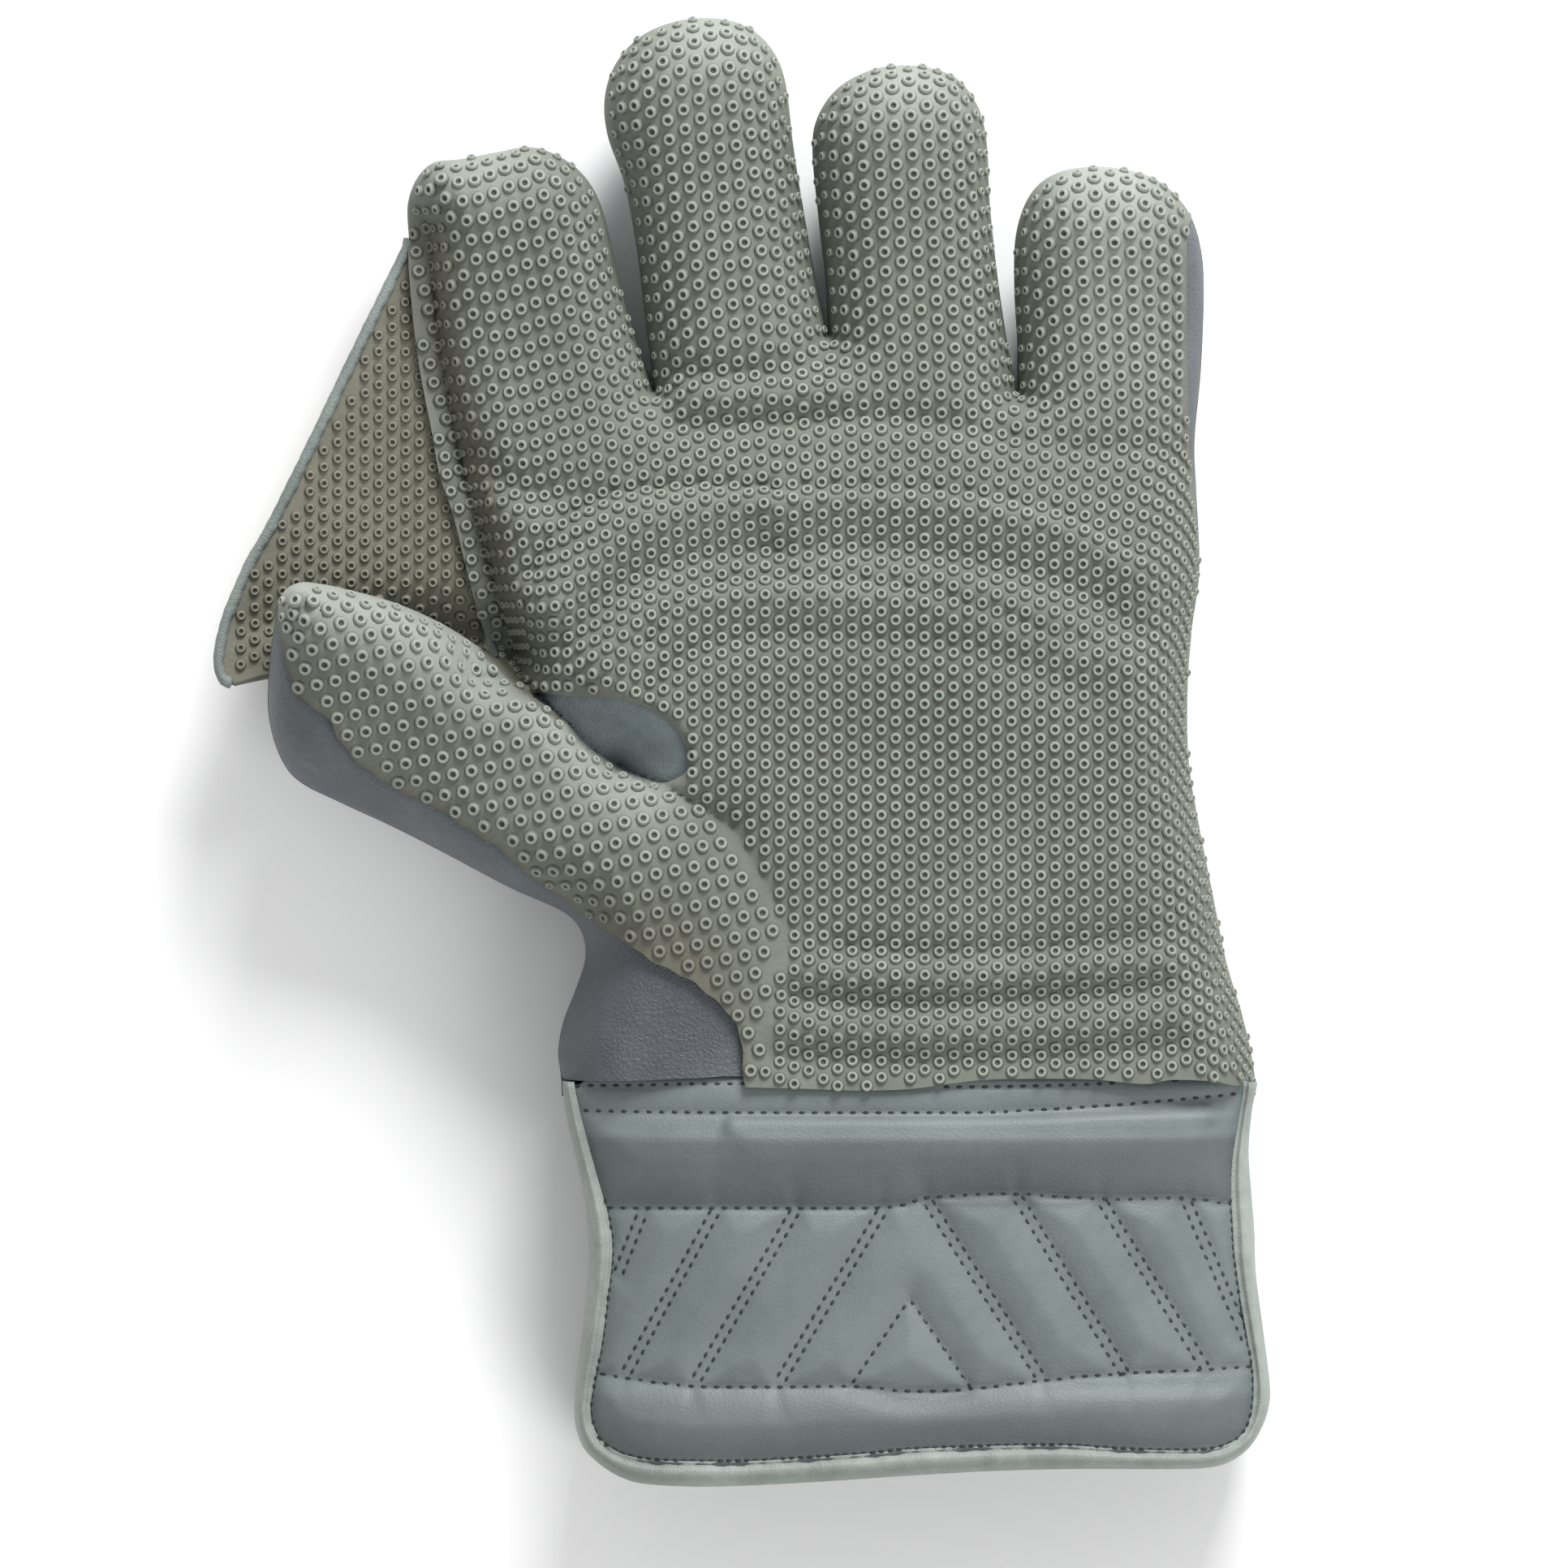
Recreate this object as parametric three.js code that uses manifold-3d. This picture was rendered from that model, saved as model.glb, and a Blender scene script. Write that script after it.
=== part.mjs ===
// A wicketkeeping glove for the left hand, lying palm up on its back.
// Millimetres, +Z up. The hand frame has its origin on the floor under the middle of the wrist seam:
// +Y runs to the fingertips, the thumb is on the -X side and the palm faces +Z.
// The finished group is moved so that the middle of its underside is the origin.
import * as THREE from 'three';
import { mergeVertices } from 'three/addons/utils/BufferGeometryUtils.js';
import Module from 'manifold-3d';

const wasm = await Module();
wasm.setup();

// Driving dimensions
const PALM_WIDTH = 130;
const PALM_LENGTH = 147;
const PALM_DEPTH = 44;
const WALL = 3;
const GAP = 0.3;
const REST_FLAT = 1.5;

const MIDDLE_FINGER_LENGTH = 79;
const FINGER_WIDTH = 38;
const FINGER_DEPTH = 32;
const FINGER_FLOOR_GAP = 2;
const FINGER_CURL = 9;
const FINGER_ROOT_DEPTH = 60;

const THUMB_LENGTH = 85;
const THUMB_ROOT_X = -0.468;
const THUMB_ROOT_Y = 0.332;
const THUMB_ROOT_DEPTH = 40;
const THUMB_WIDTH = 41.5;
const THUMB_DEPTH = 33;
const THUMB_LIFT = 21;
const THUMB_LEAN = 58;
const THUMB_TILT = 16;

const CUFF_WIDTH = 147;
const CUFF_LENGTH = 84;
const CUFF_DEPTH = 46;
const CUFF_WALL = 6;
const CUFF_CORNER = 14;
const MOUTH_SLANT = 4.5;
const ROLL_HEIGHT = 2.5;
const BINDING_WIDTH = 5;
const BINDING_PROUD = 0.5;
const SEAM_WIDTH = 1.6;
const SEAM_DEPTH = 1.2;
const DOUBLE_SEAM = 2.4;

const WEB_THICKNESS = 2.2;
const WEB_OVERLAP = 0.12;
const WEB_SAG = 3;
const WEB_BINDING = 3.4;
const GUSSET_SINK = 4;

// Faces round each part
const HAND_SIDES = 28;
const FINGER_SIDES = 16;
const BINDING_SIDES = 8;
const WEB_STEPS = 10;
const WEB_BINDING_STEPS = 16;
const THUMB_SEAM_STEPS = 8;
const CORNER_STEPS = 5;

// Powers of the ovals: 2 is an ellipse, more is boxier
const HAND_SQUARE = 2.7;
const FINGER_SQUARE = 2.3;
const CUFF_SQUARE = 3.2;

// The four fingers. root and side are shares of PALM_WIDTH from the middle line, length is a share of
// MIDDLE_FINGER_LENGTH, width of FINGER_WIDTH, and lean is in degrees towards the thumb.
const FINGERS = [
  { name: 'index', root: -0.598, length: 0.665, width: 1.13, lean: 13.6 },
  { name: 'middle', root: -0.274, length: 1.0, width: 0.99, lean: 8.8 },
  { name: 'ring', root: 0.019, length: 0.868, width: 0.975, lean: 5.2 },
  { name: 'little', root: 0.325, length: 0.6, width: 1.03, lean: 1.5 },
];

// Sections of the palm, from the wrist seam to the finger roots. along is a share of PALM_LENGTH, thumbSide
// and littleSide of PALM_WIDTH, and deep of PALM_DEPTH. The wrist takes its size from the cuff.
const PALM_SECTIONS = [
  { along: 0.04, thumbSide: 0.578, littleSide: 0.568, deep: 1.03 },
  { along: 0.09, thumbSide: 0.572, littleSide: 0.551, deep: 1.01 },
  { along: 0.135, thumbSide: 0.548, littleSide: 0.532, deep: 1.0 },
  { along: 0.18, thumbSide: 0.53, littleSide: 0.517, deep: 0.98 },
  { along: 0.32, thumbSide: 0.5, littleSide: 0.487, deep: 1.0 },
  { along: 0.47, thumbSide: 0.515, littleSide: 0.458, deep: 1.0 },
  { along: 0.57, thumbSide: 0.6, littleSide: 0.457, deep: 0.97 },
  { along: 0.65, thumbSide: 0.685, littleSide: 0.466, deep: 0.94 },
  { along: 0.78, thumbSide: 0.725, littleSide: 0.48, deep: 0.88 },
  { along: 0.91, thumbSide: 0.755, littleSide: 0.472, deep: 0.8 },
  { along: 0.97, thumbSide: 0.755, littleSide: 0.47, deep: 0.72 },
  { along: 0.99, thumbSide: 0.72, littleSide: 0.43, deep: 0.5 },
];

// How a stall starts inside the palm, so that the two join smoothly: inside is a share of the root depth,
// width and deep of the stall's own size.
const FINGER_ROOT_SECTIONS = [
  { inside: 1, width: 0.5, deep: 0.5 },
  { inside: 0.333, width: 0.9, deep: 0.9 },
  { inside: 0, width: 1.04, deep: 1 },
];
const THUMB_ROOT_SECTIONS = [
  { inside: 1, width: 0.8, deep: 0.9 },
];

// The round end of every finger and of the thumb: fromTip and width are shares of the stall's half width.
const TIP_SECTIONS = [
  { fromTip: 1.0, width: 1.0 },
  { fromTip: 0.66, width: 0.96 },
  { fromTip: 0.33, width: 0.81 },
  { fromTip: 0.12, width: 0.56 },
  { fromTip: 0, width: 0.28 },
];

// Sections of the thumb between its root in the palm and its tip: along is a share of THUMB_LENGTH,
// width of THUMB_WIDTH and deep of THUMB_DEPTH.
const THUMB_SECTIONS = [
  { along: 0, width: 0.84, deep: 0.95 },
  { along: 0.2, width: 0.85, deep: 0.95 },
  { along: 0.42, width: 0.93, deep: 0.98 },
  { along: 0.62, width: 1.05, deep: 1.0 },
];

// Sections of the cuff from the wrist seam to its mouth: along is a share of CUFF_LENGTH, the sides are
// shares of CUFF_WIDTH, and roll is the share of ROLL_HEIGHT by which the palm side swells.
const CUFF_SECTIONS = [
  { along: 0, thumbSide: 0.492, littleSide: 0.5, roll: 0 },
  { along: 0.07, thumbSide: 0.487, littleSide: 0.497, roll: 0 },
  { along: 0.13, thumbSide: 0.482, littleSide: 0.493, roll: 0.9 },
  { along: 0.21, thumbSide: 0.473, littleSide: 0.49, roll: 1 },
  { along: 0.295, thumbSide: 0.463, littleSide: 0.492, roll: 0 },
  { along: 0.42, thumbSide: 0.455, littleSide: 0.497, roll: 0.6 },
  { along: 0.6, thumbSide: 0.462, littleSide: 0.507, roll: 0.6 },
  { along: 0.74, thumbSide: 0.471, littleSide: 0.514, roll: 0 },
  { along: 0.83, thumbSide: 0.477, littleSide: 0.517, roll: 1 },
  { along: 0.92, thumbSide: 0.479, littleSide: 0.516, roll: 0.7 },
  { along: 1.0, thumbSide: 0.479, littleSide: 0.514, roll: 0 },
];

// Quilting on the cuff's palm side: each seam runs from start to end, in shares of CUFF_WIDTH from the
// middle line and of CUFF_LENGTH from the wrist seam. rows is the number of stitched lines.
const QUILT_SEAMS = [
  { startX: -0.47, startY: 0.062, endX: 0.487, endY: 0.062, rows: 1 },
  { startX: -0.44, startY: 0.305, endX: 0.485, endY: 0.285, rows: 1 },
  { startX: -0.45, startY: 0.735, endX: 0.49, endY: 0.715, rows: 1 },
  { startX: -0.378, startY: 0.315, endX: -0.42, endY: 0.47, rows: 2 },
  { startX: -0.275, startY: 0.315, endX: -0.405, endY: 0.71, rows: 2 },
  { startX: -0.165, startY: 0.315, endX: -0.305, endY: 0.73, rows: 2 },
  { startX: -0.045, startY: 0.31, endX: -0.2, endY: 0.74, rows: 2 },
  { startX: 0.035, startY: 0.295, endX: 0.19, endY: 0.7, rows: 2 },
  { startX: 0.15, startY: 0.285, endX: 0.307, endY: 0.7, rows: 2 },
  { startX: 0.275, startY: 0.285, endX: 0.42, endY: 0.69, rows: 2 },
  { startX: 0.395, startY: 0.285, endX: 0.475, endY: 0.55, rows: 2 },
  { startX: 0.002, startY: 0.54, endX: -0.075, endY: 0.725, rows: 1 },
  { startX: 0.002, startY: 0.54, endX: 0.083, endY: 0.72, rows: 1 },
];

// Where the pimpled facing stops and plain leather begins, on the thumb and at its base, from the thumb's
// tip to the wrist seam. x is a share of PALM_WIDTH from the middle line and y of PALM_LENGTH.
const LEATHER_EDGE = [
  { x: -1.12, y: 0.675 },
  { x: -1.02, y: 0.632 },
  { x: -0.95, y: 0.532 },
  { x: -0.845, y: 0.42 },
  { x: -0.686, y: 0.327 },
  { x: -0.554, y: 0.24 },
  { x: -0.475, y: 0.181 },
  { x: -0.356, y: 0.14 },
  { x: -0.29, y: 0.105 },
  { x: -0.268, y: 0.07 },
  { x: -0.267, y: -0.1 },
];

// The window of plain leather in the fork of the thumb, in shares of PALM_WIDTH and PALM_LENGTH.
const GUSSET_OUTLINE = [
  { x: -0.64, y: 0.561 },
  { x: -0.5, y: 0.551 },
  { x: -0.435, y: 0.546 },
  { x: -0.4, y: 0.52 },
  { x: -0.356, y: 0.474 },
  { x: -0.385, y: 0.44 },
  { x: -0.45, y: 0.4 },
  { x: -0.64, y: 0.46 },
];

// The web between the index finger and the thumb. Each row joins a point on the finger's side to a point on
// the free edge, in shares of PALM_WIDTH and PALM_LENGTH; high is a share of PALM_DEPTH above the floor.
const WEB_ROWS = [
  { innerX: -0.80, innerY: 1.215, innerHigh: 0.56, outerX: -0.815, outerY: 1.21, outerHigh: 0.56 },
  { innerX: -0.76, innerY: 1.08, innerHigh: 0.52, outerX: -0.915, outerY: 1.05, outerHigh: 0.56 },
  { innerX: -0.74, innerY: 0.92, innerHigh: 0.5, outerX: -1.012, outerY: 0.87, outerHigh: 0.58 },
  { innerX: -0.715, innerY: 0.78, innerHigh: 0.5, outerX: -1.093, outerY: 0.7, outerHigh: 0.62 },
  { innerX: -0.67, innerY: 0.66, innerHigh: 0.5, outerX: -1.12, outerY: 0.595, outerHigh: 0.64 },
  { innerX: -0.6, innerY: 0.55, innerHigh: 0.5, outerX: -1.075, outerY: 0.575, outerHigh: 0.64 },
];

const MATERIALS = {
  facing: new THREE.MeshStandardMaterial({ color: 0x9a9b8e, roughness: 0.7, metalness: 0 }),
  leather: new THREE.MeshStandardMaterial({ color: 0x6d7378, roughness: 0.55, metalness: 0 }),
  cuffLeather: new THREE.MeshStandardMaterial({ color: 0x8b9596, roughness: 0.45, metalness: 0 }),
  binding: new THREE.MeshStandardMaterial({ color: 0xa9b2ab, roughness: 0.45, metalness: 0 }),
};

// Closed meshes and solids

function toSolid(geometry) {
  const bare = geometry.index ? geometry.toNonIndexed() : geometry.clone();
  bare.deleteAttribute('normal');
  bare.deleteAttribute('uv');
  const merged = mergeVertices(bare, 1e-4);
  return new wasm.Manifold(
    new wasm.Mesh({
      numProp: 3,
      vertProperties: merged.attributes.position.array,
      triVerts: new Uint32Array(merged.index.array),
    }),
  );
}

function toGeometry(solid) {
  const made = solid.getMesh();
  const geometry = new THREE.BufferGeometry();
  geometry.setAttribute('position', new THREE.BufferAttribute(new Float32Array(made.vertProperties), 3));
  geometry.setIndex(new THREE.BufferAttribute(new Uint32Array(made.triVerts), 1));
  geometry.computeVertexNormals();
  return geometry;
}

// Joins rings of equally many points into one closed surface, with a fan over each end. Rings that run the
// other way round their path are turned, so that the faces point out.
function skin(rings) {
  const sides = rings[0].length;
  const middle = (ring) => ring.reduce((sum, p) => sum.add(p), new THREE.Vector3()).divideScalar(sides);
  const positions = [];
  const triangle = (a, b, c) => positions.push(...a.toArray(), ...b.toArray(), ...c.toArray());
  const first = middle(rings[0]);
  const last = middle(rings.at(-1));
  for (let i = 0; i < sides; i++) {
    const next = (i + 1) % sides;
    for (let row = 0; row < rings.length - 1; row++) {
      const [low, high] = [rings[row], rings[row + 1]];
      triangle(low[i], low[next], high[next]);
      triangle(low[i], high[next], high[i]);
    }
    triangle(first, rings[0][next], rings[0][i]);
    triangle(last, rings.at(-1)[i], rings.at(-1)[next]);
  }
  const geometry = new THREE.BufferGeometry();
  geometry.setAttribute('position', new THREE.Float32BufferAttribute(positions, 3));
  const solid = toSolid(geometry);
  return solid.volume() > 0 ? solid : skin(rings.map((ring) => [...ring].reverse()));
}

// One oval ring: square is the power of the oval. Points are kept above the floor, which flattens the
// leather where the glove lies on it: palm and cuff would reach REST_FLAT below the floor.
function ovalRing(ring, sides, grow, floor) {
  const points = [];
  for (let i = 0; i < sides; i++) {
    const angle = (-2 * Math.PI * i) / sides;
    const round = (value) => Math.sign(value) * Math.abs(value) ** (2 / ring.square);
    const across = (ring.halfWidth + grow) * round(Math.cos(angle));
    const reach = Math.sin(angle) > 0 ? ring.front : ring.back;
    const up = (reach + grow) * round(Math.sin(angle));
    const point = ring.centre.clone().addScaledVector(ring.across, across).addScaledVector(ring.up, up);
    point.z = Math.max(point.z, floor);
    points.push(point);
  }
  return points;
}

function loft(rings, sides, grow, floor) {
  return skin(rings.map((ring) => ovalRing(ring, sides, grow, floor)));
}

// A block over an outline of [x, y] points, from one height to another.
function prism(outline, low, high) {
  const shape = new THREE.Shape(outline.map(([x, y]) => new THREE.Vector2(x, y)));
  const geometry = new THREE.ExtrudeGeometry(shape, { depth: high - low, bevelEnabled: false });
  return toSolid(geometry.translate(0, 0, low));
}

const CEILING = PALM_DEPTH + THUMB_LIFT + THUMB_DEPTH;
const REACH = 2 * (PALM_WIDTH + PALM_LENGTH + CUFF_LENGTH);

function slab(low, high) {
  return prism([[-REACH, -REACH], [REACH, -REACH], [REACH, REACH], [-REACH, REACH]], low, high);
}

function join(solids) {
  return solids.reduce((all, solid) => all.add(solid));
}

// The largest bodies of a solid, where a cut has parted it or left a crumb beside it.
function largestBodies(solid, count) {
  return solid.decompose().sort((a, b) => b.volume() - a.volume()).slice(0, count);
}

// The hand: palm and fingers

const ACROSS = new THREE.Vector3(1, 0, 0);
const UP = new THREE.Vector3(0, 0, 1);

function palmRings(overrun) {
  const half = CUFF_DEPTH / 2;
  const wrist = {
    halfWidth: CUFF_WIDTH / 2, front: half, back: half + REST_FLAT,
    across: ACROSS, up: UP, square: HAND_SQUARE,
  };
  const rings = [{ ...wrist, centre: new THREE.Vector3(0, -overrun, half) }];
  for (const row of PALM_SECTIONS) {
    const deep = (PALM_DEPTH * row.deep) / 2;
    const middle = (PALM_WIDTH * (row.littleSide - row.thumbSide)) / 2;
    rings.push({
      centre: new THREE.Vector3(middle, PALM_LENGTH * row.along, deep),
      halfWidth: (PALM_WIDTH * (row.littleSide + row.thumbSide)) / 2,
      front: deep, back: deep + REST_FLAT, across: ACROSS, up: UP, square: HAND_SQUARE,
    });
  }
  return rings;
}

// A stall is a finger or the thumb: straight sections, then the round end. Growing it moves its end too.
function stallRings(stall, sections, grow) {
  const { root, direction, across, up, length, halfWidth, halfDepth, curl } = stall;
  const end = length + grow;
  const rings = [];
  const place = (distance, width, deep) => {
    const centre = root.clone().addScaledVector(direction, distance);
    centre.z += curl * Math.max(0, distance / length) ** 2;
    rings.push({
      centre, across, up, square: FINGER_SQUARE,
      halfWidth: halfWidth * width, front: halfDepth * deep, back: halfDepth * deep,
    });
  };
  for (const row of sections) place(row.at, row.width, row.deep);
  for (const row of TIP_SECTIONS) {
    place(end - row.fromTip * (halfWidth + grow), row.width, row.width);
  }
  return rings;
}

function fingerStall(finger) {
  const lean = THREE.MathUtils.degToRad(finger.lean);
  const halfWidth = (FINGER_WIDTH * finger.width) / 2;
  return {
    root: new THREE.Vector3(PALM_WIDTH * finger.root, PALM_LENGTH, FINGER_FLOOR_GAP + FINGER_DEPTH / 2),
    direction: new THREE.Vector3(-Math.sin(lean), Math.cos(lean), 0),
    across: new THREE.Vector3(Math.cos(lean), Math.sin(lean), 0),
    up: UP,
    length: MIDDLE_FINGER_LENGTH * finger.length,
    halfWidth,
    halfDepth: FINGER_DEPTH / 2,
    curl: FINGER_CURL,
  };
}

function rootSections(rows, depth) {
  return rows.map((row) => ({ at: -depth * row.inside, width: row.width, deep: row.deep }));
}

function fingerSolid(finger, grow, floor) {
  const sections = rootSections(FINGER_ROOT_SECTIONS, FINGER_ROOT_DEPTH);
  return loft(stallRings(fingerStall(finger), sections, grow), FINGER_SIDES, grow, floor);
}

function handSolid(grow, floor, overrun) {
  const fingers = FINGERS.map((finger) => fingerSolid(finger, grow, floor));
  return join([loft(palmRings(overrun), HAND_SIDES, grow, floor), ...fingers]);
}

// The thumb leans away from the fingers and rises towards its tip.
function thumbStall() {
  const lean = THREE.MathUtils.degToRad(THUMB_LEAN);
  const tilt = THREE.MathUtils.degToRad(THUMB_TILT);
  const direction = new THREE.Vector3(-Math.sin(lean), Math.cos(lean), 0);
  const flat = new THREE.Vector3(Math.cos(lean), Math.sin(lean), 0);
  return {
    root: new THREE.Vector3(THUMB_ROOT_X * PALM_WIDTH, THUMB_ROOT_Y * PALM_LENGTH, PALM_DEPTH / 2),
    direction,
    across: flat.clone().applyAxisAngle(direction, tilt),
    up: UP.clone().applyAxisAngle(direction, tilt),
    length: THUMB_LENGTH,
    halfWidth: THUMB_WIDTH / 2,
    halfDepth: THUMB_DEPTH / 2,
    curl: THUMB_LIFT,
  };
}

function thumbSolid(grow) {
  const sections = [
    ...rootSections(THUMB_ROOT_SECTIONS, THUMB_ROOT_DEPTH),
    ...THUMB_SECTIONS.map((row) => ({ at: row.along * THUMB_LENGTH, width: row.width, deep: row.deep })),
  ];
  return loft(stallRings(thumbStall(), sections, grow), FINGER_SIDES, grow, 0);
}

// Front of a stall: everything above the plane through its middle, which follows its rise.
function aboveThumbSeam(shift) {
  const stall = thumbStall();
  const reach = THUMB_ROOT_DEPTH + THUMB_LENGTH + THUMB_DEPTH;
  const rings = [];
  for (let i = 0; i <= THUMB_SEAM_STEPS; i++) {
    const distance = -THUMB_ROOT_DEPTH + (reach * i) / THUMB_SEAM_STEPS;
    const centre = stall.root.clone().addScaledVector(stall.direction, distance);
    centre.z += stall.curl * Math.max(0, distance / stall.length) ** 2;
    const corner = (side, height) =>
      centre.clone().addScaledVector(stall.across, side * THUMB_WIDTH).addScaledVector(stall.up, height);
    rings.push([corner(-1, shift), corner(-1, CEILING), corner(1, CEILING), corner(1, shift)]);
  }
  return skin(rings);
}

const SEAM_HEIGHT = FINGER_FLOOR_GAP + FINGER_DEPTH / 2;

// The seam between facing and back rises with the curl of the fingers.
function aboveHandSeam(shift) {
  const low = SEAM_HEIGHT + shift;
  const end = PALM_LENGTH + MIDDLE_FINGER_LENGTH;
  const rings = [];
  for (const share of [-1, 0, 0.5, 0.8, 1.2]) {
    const y = share < 0 ? -CUFF_LENGTH : PALM_LENGTH + share * MIDDLE_FINGER_LENGTH;
    const seam = low + FINGER_CURL * Math.max(0, share) ** 2;
    const corner = (x, z) => new THREE.Vector3(x, y, z);
    rings.push([corner(-end, seam), corner(-end, CEILING), corner(end, CEILING), corner(end, seam)]);
  }
  return skin(rings);
}

// Cuff

function cuffRings(overrun) {
  const middle = (row) => (CUFF_WIDTH * (row.littleSide - row.thumbSide)) / 2;
  const rings = CUFF_SECTIONS.map((row) => ({
    centre: new THREE.Vector3(middle(row), -GAP - CUFF_LENGTH * row.along, CUFF_DEPTH / 2),
    halfWidth: (CUFF_WIDTH * (row.littleSide + row.thumbSide)) / 2,
    front: CUFF_DEPTH / 2 + ROLL_HEIGHT * (row.roll - 1),
    back: CUFF_DEPTH / 2 + REST_FLAT,
    across: ACROSS, up: UP, square: CUFF_SQUARE,
  }));
  if (overrun) {
    rings.unshift({ ...rings[0], centre: rings[0].centre.clone().setY(overrun) });
    rings.push({ ...rings.at(-1), centre: rings.at(-1).centre.clone().setY(-CUFF_LENGTH - overrun) });
  }
  return rings.reverse();
}

// The cuff's outline seen from the palm side, drawn in by an inset, with round corners at the mouth. The
// mouth's edge rises towards the little finger's side.
function cuffOutline(inset) {
  const radius = CUFF_CORNER - inset;
  const bottom = -GAP - CUFF_LENGTH + inset;
  const rows = CUFF_SECTIONS.filter((row) => CUFF_LENGTH * (1 - row.along) > CUFF_CORNER + MOUTH_SLANT);
  const last = CUFF_SECTIONS.at(-1);
  const left = -CUFF_WIDTH * last.thumbSide + inset + radius;
  const right = CUFF_WIDTH * last.littleSide - inset - radius;
  const height = (row) => -GAP - CUFF_LENGTH * row.along;
  const points = rows.map((row) => [-CUFF_WIDTH * row.thumbSide + inset, height(row)]);
  for (const [x, from, lift] of [[left, Math.PI, 0], [right, 1.5 * Math.PI, MOUTH_SLANT]]) {
    for (let i = 0; i <= CORNER_STEPS; i++) {
      const angle = from + (Math.PI / 2) * (i / CORNER_STEPS);
      points.push([x + radius * Math.cos(angle), bottom + lift + radius * (1 + Math.sin(angle))]);
    }
  }
  return [...points, ...rows.reverse().map((row) => [CUFF_WIDTH * row.littleSide - inset, height(row)])];
}

// The grooves that quilting pulls into the padding: strips over the seams, down to the sunk surface.
function quiltGrooves() {
  const strips = QUILT_SEAMS.map((seam) => {
    const start = new THREE.Vector2(CUFF_WIDTH * seam.startX, -CUFF_LENGTH * seam.startY);
    const end = new THREE.Vector2(CUFF_WIDTH * seam.endX, -CUFF_LENGTH * seam.endY);
    const along = end.clone().sub(start).normalize();
    const half = (SEAM_WIDTH + DOUBLE_SEAM * (seam.rows - 1)) / 2;
    const corner = (point, side) => [point.x - along.y * side, point.y + along.x * side];
    const outline = [corner(start, -half), corner(end, -half), corner(end, half), corner(start, half)];
    return prism(outline, CUFF_DEPTH / 2, CEILING);
  });
  return join(strips).subtract(loft(cuffRings(CUFF_LENGTH), HAND_SIDES, -SEAM_DEPTH, 0));
}

// The cuff's walls within an outline: an oval tube, padded thick, open at the wrist and at the mouth.
function cuffTube(proud, outline) {
  const inside = loft(cuffRings(CUFF_LENGTH), HAND_SIDES, -CUFF_WALL - proud, CUFF_WALL - proud);
  return loft(cuffRings(0), HAND_SIDES, proud, 0).subtract(inside).intersect(outline);
}

// Web between index finger and thumb

function webPoint(row, share) {
  const high = row.innerHigh + (row.outerHigh - row.innerHigh) * share;
  return new THREE.Vector3(
    PALM_WIDTH * (row.innerX + (row.outerX - row.innerX) * share),
    PALM_LENGTH * (row.innerY + (row.outerY - row.innerY) * share),
    PALM_DEPTH * high - WEB_SAG * Math.sin(Math.PI * share),
  );
}

function webSheet() {
  const rings = WEB_ROWS.map((row) => {
    const top = [];
    const under = [];
    for (let i = 0; i <= WEB_STEPS; i++) {
      const point = webPoint(row, -WEB_OVERLAP + ((1 + WEB_OVERLAP) * i) / WEB_STEPS);
      top.push(point.clone().setZ(point.z + WEB_THICKNESS / 2));
      under.unshift(point.clone().setZ(point.z - WEB_THICKNESS / 2));
    }
    return [...under, ...top];
  });
  return skin(rings);
}

function webBinding() {
  const path = WEB_ROWS.map((row) => webPoint(row, 1));
  const curve = new THREE.CatmullRomCurve3(path, false, 'catmullrom', 0.5);
  const rings = [];
  for (let i = 0; i <= WEB_BINDING_STEPS; i++) {
    const share = i / WEB_BINDING_STEPS;
    const along = curve.getTangentAt(share);
    const across = UP.clone().cross(along).normalize();
    rings.push({
      centre: curve.getPointAt(share), across, up: along.clone().cross(across),
      halfWidth: WEB_BINDING / 2, front: WEB_BINDING / 2, back: WEB_BINDING / 2, square: 2,
    });
  }
  return rings;
}

// Assembly

const sharedOutline = (rows) => rows.map((row) => [PALM_WIDTH * row.x, PALM_LENGTH * row.y]);

function leatherRegion(shift) {
  const edge = sharedOutline(LEATHER_EDGE).map(([x, y]) => [x + shift, y + shift]);
  const farLeft = -REACH;
  return prism([...edge, [farLeft, edge.at(-1)[1]], [farLeft, edge[0][1]]], -CEILING, CEILING);
}

function grownOutline(rows, grow) {
  const points = sharedOutline(rows).map(([x, y]) => new THREE.Vector2(x, y));
  const total = points.reduce((sum, point) => sum.add(point), new THREE.Vector2());
  const middle = total.divideScalar(points.length);
  return points.map((point) => {
    const outward = point.clone().sub(middle).setLength(grow);
    return point.clone().add(outward).toArray();
  });
}

const handOuter = handSolid(0, 0, 0);
const handInner = handSolid(-WALL, WALL, WALL);
const thumbOuter = thumbSolid(0);
const thumbInner = thumbSolid(-WALL);
const hollow = handInner.add(thumbInner);

const thumbFront = thumbOuter.intersect(aboveThumbSeam(0));
const thumbRear = thumbOuter.subtract(aboveThumbSeam(0));
const handFront = handOuter.intersect(aboveHandSeam(0));
const handRear = handOuter.subtract(aboveHandSeam(0));

const window = prism(grownOutline(GUSSET_OUTLINE, 0), SEAM_HEIGHT + GAP, CEILING);
const windowInside = prism(grownOutline(GUSSET_OUTLINE, -GAP), SEAM_HEIGHT + GAP, CEILING);
const thumbClear = thumbSolid(GAP);

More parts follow.
